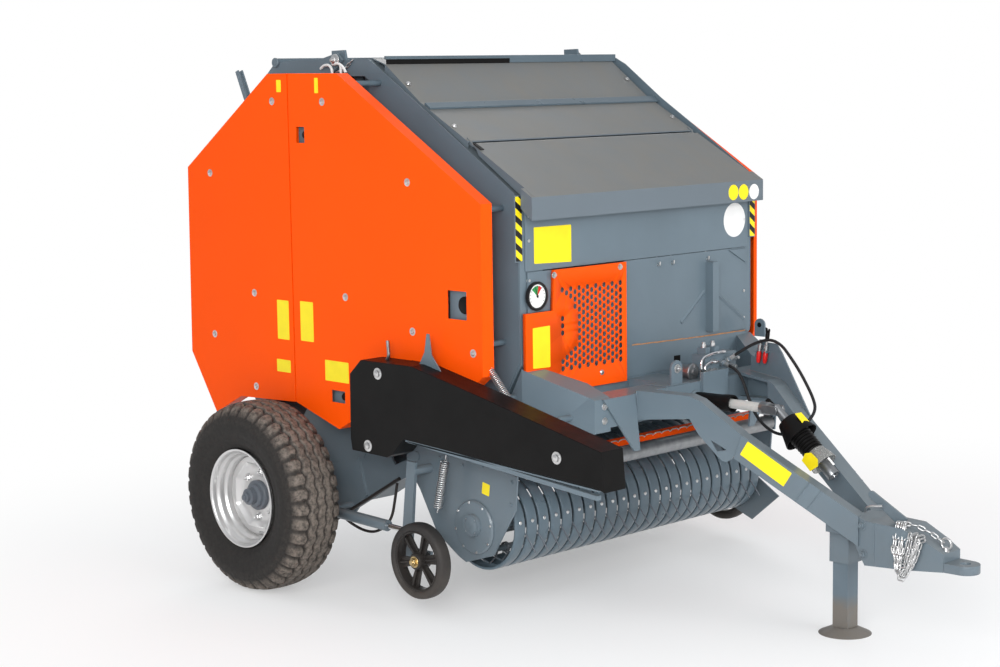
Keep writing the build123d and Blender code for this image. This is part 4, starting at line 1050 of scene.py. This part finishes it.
def valves():
    """Unions and bent pipes on the valve block, the casting beside it, and the parked couplings."""
    with making("valve_unions", ZINC, angle=30) as bm:
        for y, z, size in ((146, 962, 0.012), (182, 958, 0.012), (168, 1000, 0.010), (292, 966, 0.012),
                           (308, 1004, 0.010)):
            fitting(bm, at(1475, y, z), X_AXIS, size, 0.034)
        for y in (155, 215):
            fitting(bm, at(1440, y, 1057), Z_AXIS, 0.011, 0.024)
        for tip, beyond in ((at(1500, 225, 985), at(1560, 222, 973)), (at(1508, 254, 1008), at(1558, 268, 1044))):
            away = (beyond - tip).normalized()
            disc(bm, tip - away * 0.022, away, 0.0132, 0.013, 6, 0.0012)
            disc(bm, tip - away * 0.009, away, 0.0100, 0.034, 22, 0.0008)
    with making("valve_pipes", CHROME, angle=50) as bm:
        for radius, points in (
                (0.03, ((1486, 84, 937), (1486, 84, 1022), (1486, 160, 1036), (1480, 250, 1034), (1466, 262, 1029))),
                (0.02, ((1489, 104, 937), (1489, 104, 990), (1490, 140, 1000), (1490, 168, 1000)))):
            sweep(bm, rounded([at(*p) for p in points], radius, 8), 0.0062, 14)
    with making("valve_casting", STEEL, angle=30) as bm:
        centre = at(1405, 60, 966)
        lathe(bm, [(-0.03, 0), (-0.03, 0.028), (0.040, 0.030), (0.044, 0.036), (0.056, 0.036), (0.060, 0.032),
                   (0.062, 0.016), (0.070, 0.014), (0.070, 0)], centre, X_AXIS, 36)
        for spot in circle(centre + X_AXIS * 0.056, 0.029, Y_AXIS, Z_AXIS, 5, tau * 0.3 / 5):
            hex_bolt(bm, spot, X_AXIS, 0.005, washer=False)
    axis = Vector((0.13, 0.0, 1.0)).normalized()
    for name, x in (("front", 1646), ("back", 1612)):
        base = at(x, 309, 992)
        turned("coupling_sleeve_" + name, RED, [
            (0, 0), (0, 0.0065), (0.012, 0.0100), (0.040, 0.0105), (0.044, 0.0085), (0.050, 0.0080), (0.050, 0)],
            base, axis, 20)
        turned("coupling_neck_" + name, ZINC, [
            (0.050, 0), (0.050, 0.0062), (0.060, 0.0062), (0.061, 0.0090), (0.078, 0.0090), (0.080, 0.0058),
            (0.100, 0.0056), (0.100, 0)], base, axis, 20)
    with making("coupling_cap", BLACK, angle=35) as bm:
        base = at(1646, 309, 992)
        lathe(bm, [(0.100, 0), (0.100, 0.0088), (0.128, 0.0094), (0.131, 0.0080), (0.131, 0)], base, axis, 20)
        for tab in (((-0.008, 0.0), (0.002, 0.0), (-0.002, 0.022), (-0.010, 0.026)),
                    ((0.002, 0.0), (0.0085, 0.0), (0.012, 0.018), (0.006, 0.022))):
            slab(bm, [base + axis * 0.128 + Vector((x, -0.003, z)) for x, z in tab], (0, 0.006, 0))
    with making("coupling_rack", GREY, bevel=0.001) as bm:
        brick(bm, (1604, 318, 1034), (1664, 327, 1046))
        brick(bm, (1600, 299, 1036), (1610, 327, 1044))
        brick(bm, (1656, 299, 1036), (1664, 327, 1044))


valves()


def lever():
    """Lever with its black grip, on a bracket at the far leg's inner face."""
    foot = at(1940, 119, 763)
    run = at(1796, 119, 886) - foot
    with making("lever_rod", PALE, angle=50) as bm:
        sweep(bm, [foot - run * 0.04, foot + run * 0.66], 0.0075, 16)
    turned("lever_grip", BLACK, [(0, 0), (0, 0.0085), (0.004, 0.0108), (0.030, 0.0118), (0.060, 0.0112),
                                 (0.066, 0.009), (0.068, 0)], foot + run * 0.58, run, 24)
    with making("lever_bracket", GREY, bevel=0.001) as bm:
        brick(bm, (1932, 112, 750), (1952, 168, 758))
        disc(bm, at(1942, 119, 754), run, 0.010, 0.018, 18, 0.001)


lever()

# ---------- cross beam and drawbar ----------

LEG_SLOPE = 0.310


def on_leg(x, z, side=-1, lift=0.0):
    """Place on the outer face of a drawbar leg."""
    return at(x, side * (90 + (2420 - x) * LEG_SLOPE), z) + Vector((LEG_SLOPE, side, 0)).normalized() * lift


def weld(bm, place, length, r, swell=0.0, wave=0.0):
    """Uneven seam; place gives the point of each step."""
    sweep(bm, [place(k) for k in range(length)], [r + swell * sin(k * wave) for k in range(length)], 8)


def beam_details():
    """Ear with its bolt on the beam, weld seams and bolts."""
    with making("beam_ear", GREY, bevel=0.0015) as bm:
        top = [(-101 + 35 * cos(a), 1003 + 35 * sin(a)) for a in arc(pi, 0, 12)]
        front_slab(bm, 1498, [(-136, 934), (-136, 1000), *top, (-66, 1000), (-66, 934)], 0.012)
        slab(bm, [at(x, y, 935) for x, y in ((1404, -190), (1516, -176), (1516, -30), (1470, -58))], (0, 0, 0.004))
    with making("front_bolts", ZINC, angle=30) as bm:
        hex_bolt(bm, at(1510, -101, 1003), X_AXIS, 0.013, stub=0.01)
        hex_bolt(bm, at(BEAM_FACE, -104, 861), X_AXIS, 0.009)
        for y in (-560, 560):
            for z in (846, 904):
                hex_bolt(bm, at(BEAM_FACE, y, z), X_AXIS, 0.010)
        hex_bolt(bm, at(GUARD_FACE, -564, 1414), X_AXIS, 0.009)
        hex_bolt(bm, at(GUARD_FACE, -165, 1416), X_AXIS, 0.009)
        lathe(bm, [(0, 0), (0, 0.012), (0.004, 0.010), (0.007, 0.006), (0.008, 0)], at(GUARD_FACE, -282, 984), X_AXIS,
              20)
        for sign, heights in ((-1, (1240, 1400, 1560, 1660)), (1, (1118, 1240, 1400, 1560, 1660))):
            for z in heights:
                hex_bolt(bm, at(1231, sign * 688, z), X_AXIS, 0.0075)
    with making("weld_seams", GREY, angle=60) as bm:
        for y in (-426, -179, 179, 426):
            weld(bm, lambda k: at(1521, y + 2.5 * sin(k * 1.9), 818 + k * 114 / 14), 15, 0.0030, 0.0006, 2.3)
        for sign in (-1, 1):
            for x0, z0, x1, z1 in ((1951, 795, 1925, 708), (2222, 628, 2166, 548), (2268, 600, 2212, 520)):
                weld(bm, lambda k: on_leg(x0 + (x1 - x0) * k / 12, z0 + (z1 - z0) * k / 12, sign, 0.0004), 13,
                     0.0022, 0.0005, 2.1)
            weld(bm, lambda k: at(2479, sign * 85.5, 342 + 150 * k / 14), 15, 0.0026, 0.0006, 2.3)
            weld(bm, lambda k: on_leg(1522 + 2 * sin(k), 828 + 116 * k / 12, sign, 0.0003), 13, 0.003)


beam_details()
film("drawbar_label", [on_leg(1947, 718), on_leg(2120, 604), on_leg(2153, 660), on_leg(1978, 773)], YELLOW,
     "chassis", (LEG_SLOPE, -1, 0))


def chain_link(bm, centre, along, across, length, width, r):
    """One closed link: two straight sides and round ends."""
    along = Vector(along).normalized()
    across = (Vector(across) - along * Vector(across).dot(along)).normalized()
    half, radius = (length - width) / 2, (width - 2 * r) / 2
    line = [centre + along * (end * (half + radius * cos(a))) + across * (end * radius * sin(a))
            for end in (1, -1) for a in arc(-pi / 2, pi / 2, 8)]
    normal = along.cross(across)
    rings = []
    for i, p in enumerate(line):
        ahead = (line[(i + 1) % len(line)] - line[i - 1]).normalized()
        rings.append(new_verts(bm, circle(p, r, normal, ahead.cross(normal), 8)))
    for one, two in zip(rings, rings[1:] + rings[:1]):
        join(bm, one, two)


def chain(bm, points, length=0.036, width=0.020, r=0.0034):
    """Chain along a line: each link turned a quarter from the last."""
    pitch = length - 2 * r - 0.0006
    travelled, index = 0.0, 0
    target = pitch / 2
    for a, b in zip(points, points[1:]):
        step = (b - a).length
        while target <= travelled + step:
            along = (b - a).normalized()
            turn = Matrix.Rotation(radians(90 * (index % 2) + 28), 3, along)
            chain_link(bm, a.lerp(b, (target - travelled) / step), along, turn @ along.orthogonal().normalized(),
                       length, width, r)
            index += 1
            target += pitch
        travelled += step


def nose_top(x):
    """Height of the nose's top where the chain hangs over it."""
    return 494 - 0.30 * (x - 2574)


# Each strand of the safety chain: where it lies over the nose, its reach, how deep it hangs, how far out it stands
STRANDS = ((2572, 124, 0.150, 6), (2580, 104, 0.168, 15), (2594, 84, 0.176, 24), (2604, 60, 0.160, 31),
           (2612, 42, 0.128, 12), (2584, 62, 0.110, 4))


def hitch_details():
    """Rod and bolts of the nose, its hook bar, the safety chain wound over it, and the pin's ring."""
    with making("nose_rod", ZINC, angle=30) as bm:
        sweep(bm, rounded([at(2486, -42, 556), at(2446, -52, 552), at(2414, -48, 540), at(2398, -30, 520)], 0.012),
              0.005, 12)
    with making("nose_bolts", GREY, angle=30) as bm:
        for sign in (-1, 1):
            for x, z in ((2423, 478), (2429, 366)):
                hex_bolt(bm, at(x, sign * 85, z), (0, sign, 0), 0.013, stub=0.006)
    with making("nose_hook_bar", GREY, bevel=0.0015) as bm:
        low, high = at(2572, -22, 496), at(2408, -22, 596)
        along = (high - low).normalized()
        across = Vector((-along.z, 0, along.x)) * 0.015
        slab(bm, [low - across * 1.6, low + across * 1.6]
             + [high - along * 0.015 + across * sin(a) + along * 0.015 * cos(a) for a in arc(pi / 2, -pi / 2, 8)],
             (0, 0.010, 0))
        brick(bm, (2540, -34, 490), (2596, 2, 497))
    with making("safety_chain", ZINC, angle=60) as bm:
        for x, reach, drop, out in STRANDS:
            line = []
            for share in arc(0, 1, 18):
                here = x + reach * share - 10 * sin(pi * share)
                deep = drop * (1 - (2 * abs(share - 0.42) / 1.16) ** 2.6)
                line.append(at(here, -(88 + 6 + out * sin(pi * share)), nose_top(here) + 4)
                            - Vector((0, 0, max(0.0, deep))))
            chain(bm, [at(x - 6, -40, 503), at(x - 4, -66, 506)] + line
                  + [at(x + reach + 6, -62, nose_top(x + reach) + 6)])
        chain(bm, [at(2592, -58, 508), at(2640, -40, 502), at(2688, -24, 482), at(2738, -14, 452)])
    with making("hitch_ring", ZINC, angle=60) as bm:
        ring = circle(at(2757, -18, 446), 0.021, X_AXIS, Z_AXIS, 28)
        sweep(bm, ring + ring[:1], 0.0052, 10, cap=False)
        lathe(bm, [(0, 0), (0, 0.012), (0.018, 0.012), (0.022, 0.008), (0.022, 0)], at(2757, -18, 412), Z_AXIS, 20)
        bmesh.ops.remove_doubles(bm, verts=bm.verts, dist=1e-6)


hitch_details()


def roof_details():
    """Short chain on the right of the roof, and studs of the gate's pivots."""
    with making("roof_chain", ZINC, angle=60) as bm:
        chain(bm, [at(250, -741, 2290), at(215, -744, 2262), at(180, -745, 2246), at(140, -745, 2240)], 0.030, 0.016,
              0.0028)
        for sign in (-1, 1):
            hex_bolt(bm, at(160, sign * 763, 2290), (0, sign, 0), 0.018, stub=0.008)


roof_details()

# Short sprung fingers along the feed strip
with making("feed_fingers", ZINC, angle=60) as fingers:
    for k in range(24):
        y = -640 + k * 55.6
        sweep(fingers, rounded([at(1312, y, 690), at(1322, y + 6, 701), at(1331, y + 22, 704),
                                at(1329, y + 34, 700)], 0.006), 0.0026, 8)


def front_plate_details():
    """Crease with worn paint, two folded ridges, the corner gusset, a square hole and the stand's lug; black sheets in
    the two holes are painted shade.
    """
    with making("crease_wear", RUST, angle=60) as bm:
        sweep(bm, [at(1236, -70 + 768 * k / 24, 1074 - 14 * sin(pi * k / 48) + 0.8 * sin(k * 2.1)) for k in range(25)],
              [0.0022 + 0.0012 * abs(sin(k * 1.7)) for k in range(25)], 8)
    with making("front_folds", GREY, bevel=0.001) as bm:
        front_slab(bm, 1235, ((-118, 942), (698, 942), (698, 1058), (-118, 1072)), 0.003)
        for y0, z0, y1, z1 in ((410, 1262, 250, 1138), (474, 1256, 690, 1112)):
            a, b = at(1235, y0, z0), at(1235, y1, z1)
            across = Vector((0, -(b - a).z, (b - a).y)).normalized() * 0.010
            peak = Vector((0.006, 0, 0))
            verts = new_verts(bm, (a - across, a + across, b + across, b - across, a + peak, b + peak))
            for face in ((0, 1, 2, 3), (0, 3, 5, 4), (1, 4, 5, 2), (0, 4, 1), (3, 2, 5)):
                bm.faces.new([verts[i] for i in face])
        front_slab(bm, 1236, ((576, 1430), (697, 1366), (697, 1430)), 0.006)
        side_slab(bm, 684, [(1300, 1040), (1356, 1040)] + [on_circle(1327, 1092, 28, a) for a in arc(0, pi, 12)],
                  0.010)
    # Black sheets on the square hole and on the lug's hole: painted shade for the dark inside the holes
    with making("front_hole_shade", BLACK, angle=30) as bm:
        brick(bm, (1238, 200, 972), (1239, 242, 998))
        lathe(bm, [(0, 0), (0, 0.011), (0.001, 0.011), (0.001, 0)], at(1327, 683.5, 1092), (0, -1, 0), 24)
    with making("guard_backing", GREY, bevel=0.0005) as bm:
        brick(bm, (1236, -700, 868), (1238, -122, 1434))


front_plate_details()


def perforated_guard():
    """Orange guard: a sheet with its holes cut through, a plain half-round field, and turned-in edges."""
    edge = [(-730, 1270), (-572, 1270), (-562, 1434), (-125, 1434), (-125, 930), (-500, 934), (-620, 968),
            (-730, 1040)]
    bm = bmesh.new()
    loops = [new_verts(bm, [at(GUARD_FACE, y, z) for y, z in edge])]
    for column in range(15):
        for row in range(12):
            y = -516 + 25.2 * column
            z = 1026 + 29.4 * row + (14.7 if column % 2 else 0)
            apart = hypot(y + 545, z - 1198)
            if z > 1354 or 52 < apart < 128 or apart < 52 and y > -492 - 0.5 * abs(z - 1198):
                continue
            loops.append(new_verts(bm, [at(GUARD_FACE, y + 10.6 * cos(tau * k / 12), z + 11.4 * sin(tau * k / 12))
                                        for k in range(12)]))
    edges = [bm.edges.new((v, loop[(k + 1) % len(loop)])) for loop in loops for k, v in enumerate(loop)]
    bmesh.ops.triangle_fill(bm, use_beauty=True, use_dissolve=False, edges=edges)
    inner = new_verts(bm, [at(GUARD_FACE - 17, y, z) for y, z in edge])
    for k in range(len(edge)):
        j = (k + 1) % len(edge)
        bm.faces.new((loops[0][k], inner[k], inner[j], loops[0][j]))
    piece = finish_mesh("guard_sheet", bm, ORANGE, "chassis", angle=4, replaces=("front_guard",))
    thick = piece.modifiers.new("sheet", "SOLIDIFY")
    thick.thickness = 0.0025
    thick.offset = -1


perforated_guard()


def bands():
    """Pressed steel bands with rolled edges, and the rail that carries them at the back."""
    line = [on_reel(BAND_R, -115 + 215 * k / 36) for k in range(37)]
    line += [(REEL[0] - 120, REEL[1] + 223), (REEL[0] - 198, REEL[1] + 240)]
    half = 28.5
    section = [(-half + 1.6, -11), (-half, -9), (-half, -4.5), (-half + 1.4, -1.4), (-half + 4.6, 0),
               (-half * 0.4, 0.9), (half * 0.4, 0.9), (half - 4.6, 0), (half - 1.4, -1.4), (half, -4.5), (half, -9),
               (half - 1.6, -11), (half - 2.4, -4.8), (half - 4.8, -2.6), (-half + 4.8, -2.6), (-half + 2.4, -4.8)]
    normals = []
    for k in range(len(line)):
        a, b = line[max(k - 1, 0)], line[min(k + 1, len(line) - 1)]
        run = Vector((b[0] - a[0], b[1] - a[1])).normalized()
        normals.append((run.y, -run.x))
    # The bands take the darker grey of painted shade
    with making("stripper_bands", GREY_SHADED, "pickup", angle=50, replaces=("pickup_bands",)) as bm:
        for y in BAND_PLACES:
            rings = [new_verts(bm, [at(px + nx * deep, y + side, pz + nz * deep) for side, deep in section])
                     for (px, pz), (nx, nz) in zip(line, normals)]
            for one, two in zip(rings, rings[1:]):
                join(bm, one, two)
            bm.faces.new(rings[0])
            bm.faces.new(list(reversed(rings[-1])))
        disc(bm, at(REEL[0] - 180, -PLATE_Y + 8, REEL[1] + 220), Y_AXIS, 0.020, 2 * (PLATE_Y - 8) / 1000, 24, 0.001)


bands()


def frame_fillers():
    """Plates that close the arms and posts, rail and seal of the roof, guard's lower strip, pipes, clamp."""
    with making("side_webs", GREY) as bm:
        for sign, top in (
                (-1, [(352, 2291), (378, 2278), (545, 2174), (785, 2022), (902, 1946), (1130, 1802), (1207, 1752)]),
                (1, [(352, 2300), (420, 2290), (488, 2257), (707, 2100), (914, 1970), (1218, 1776)])):
            side_slab(bm, sign * 742, top + [(1230, 1726), (1230, 1075), (1110, 866), (1010, 900), (1010, 1600),
                                             (352, 2020)], -sign * 0.003)
        side_slab(bm, -742, ((-150, 515), (125, 515), (260, 560), (330, 700), (300, 850), (-40, 850), (-150, 700)),
                  0.003)
    with making("gate_rail", GREY, "tailgate", bevel=0.002) as bm:
        brick(bm, (-292, -738, 2264), (-262, 738, 2303))
        disc(bm, at(-277, 738, 2284), Y_AXIS, 0.022, 0.016, 24, 0.003)
        disc(bm, at(-277, -738, 2284), -Y_AXIS, 0.022, 0.010, 24, 0.003)
        outer = ((-408, 2246), (-388, 2254), (-322, 2112), (-342, 2104))
        side_slab(bm, -868, outer, 0.008)
        side_slab(bm, -858, ((-404, 2238), (-392, 2244), (-326, 2112), (-338, 2106)), 0.012)
        side_slab(bm, -846, outer, 0.008)
    # The roof rail takes the darker grey of painted shade
    with making("roof_rail", GREY_SHADED, bevel=0.001) as bm:
        brick(bm, (419, -712, 2289), (430, 30, 2303))
        brick(bm, (419, 30, 2270), (430, 736, 2303))
        slope = Vector((0.873, 0, -0.488))
        low = at(662, -712, 2099)
        slab(bm, [low, low + slope * 0.040, low + slope * 0.039 + Vector((0.004, 0, 0.007)),
                  low + Vector((0.005, 0, 0.009))], (0, 1.45, 0))
    with making("roof_seal", BLACK) as bm:
        brick(bm, (426, -708, 2268), (429, 28, 2290))
    # Thin black sheet at the lid's rear corner: painted shade of a slot and of the shadow next to it
    with making("lid_slot_shade", BLACK, "lid") as bm:
        slab(bm, [at(948, -712, 1943), at(992, -712, 1918), at(992, -690, 1918), at(948, -696, 1943)],
             (0.001, 0, 0.0022))
    with making("guard_strip", GREY, bevel=0.001) as bm:
        side_slab(bm, -1064, ((892, 776), (1936, 682), (1936, 664), (892, 758)), 0.026)
    with making("lift_pipe", SATIN_BLACK, angle=50) as bm:
        sweep(bm, rounded([at(556, -812, 500), at(538, -812, 420), at(520, -812, 352), at(478, -812, 300),
                           at(400, -812, 262), at(316, -812, 262), at(262, -846, 300), at(232, -878, 352)], 0.045, 6),
              0.0062, 12)
        sweep(bm, [at(112, -790, 270), at(546, -790, 516)], 0.008, 12)
    with making("pivot_clamp", WHITE, angle=50) as bm:
        for points in (((70, 2254), (92, 2268), (126, 2270), (146, 2252), (146, 2216)),
                       ((150, 2272), (190, 2276), (222, 2258), (236, 2236)), ((204, 2270), (204, 2206))):
            sweep(bm, rounded([at(x, -770, z) for x, z in points], 0.014, 5), 0.0062, 12)


frame_fillers()
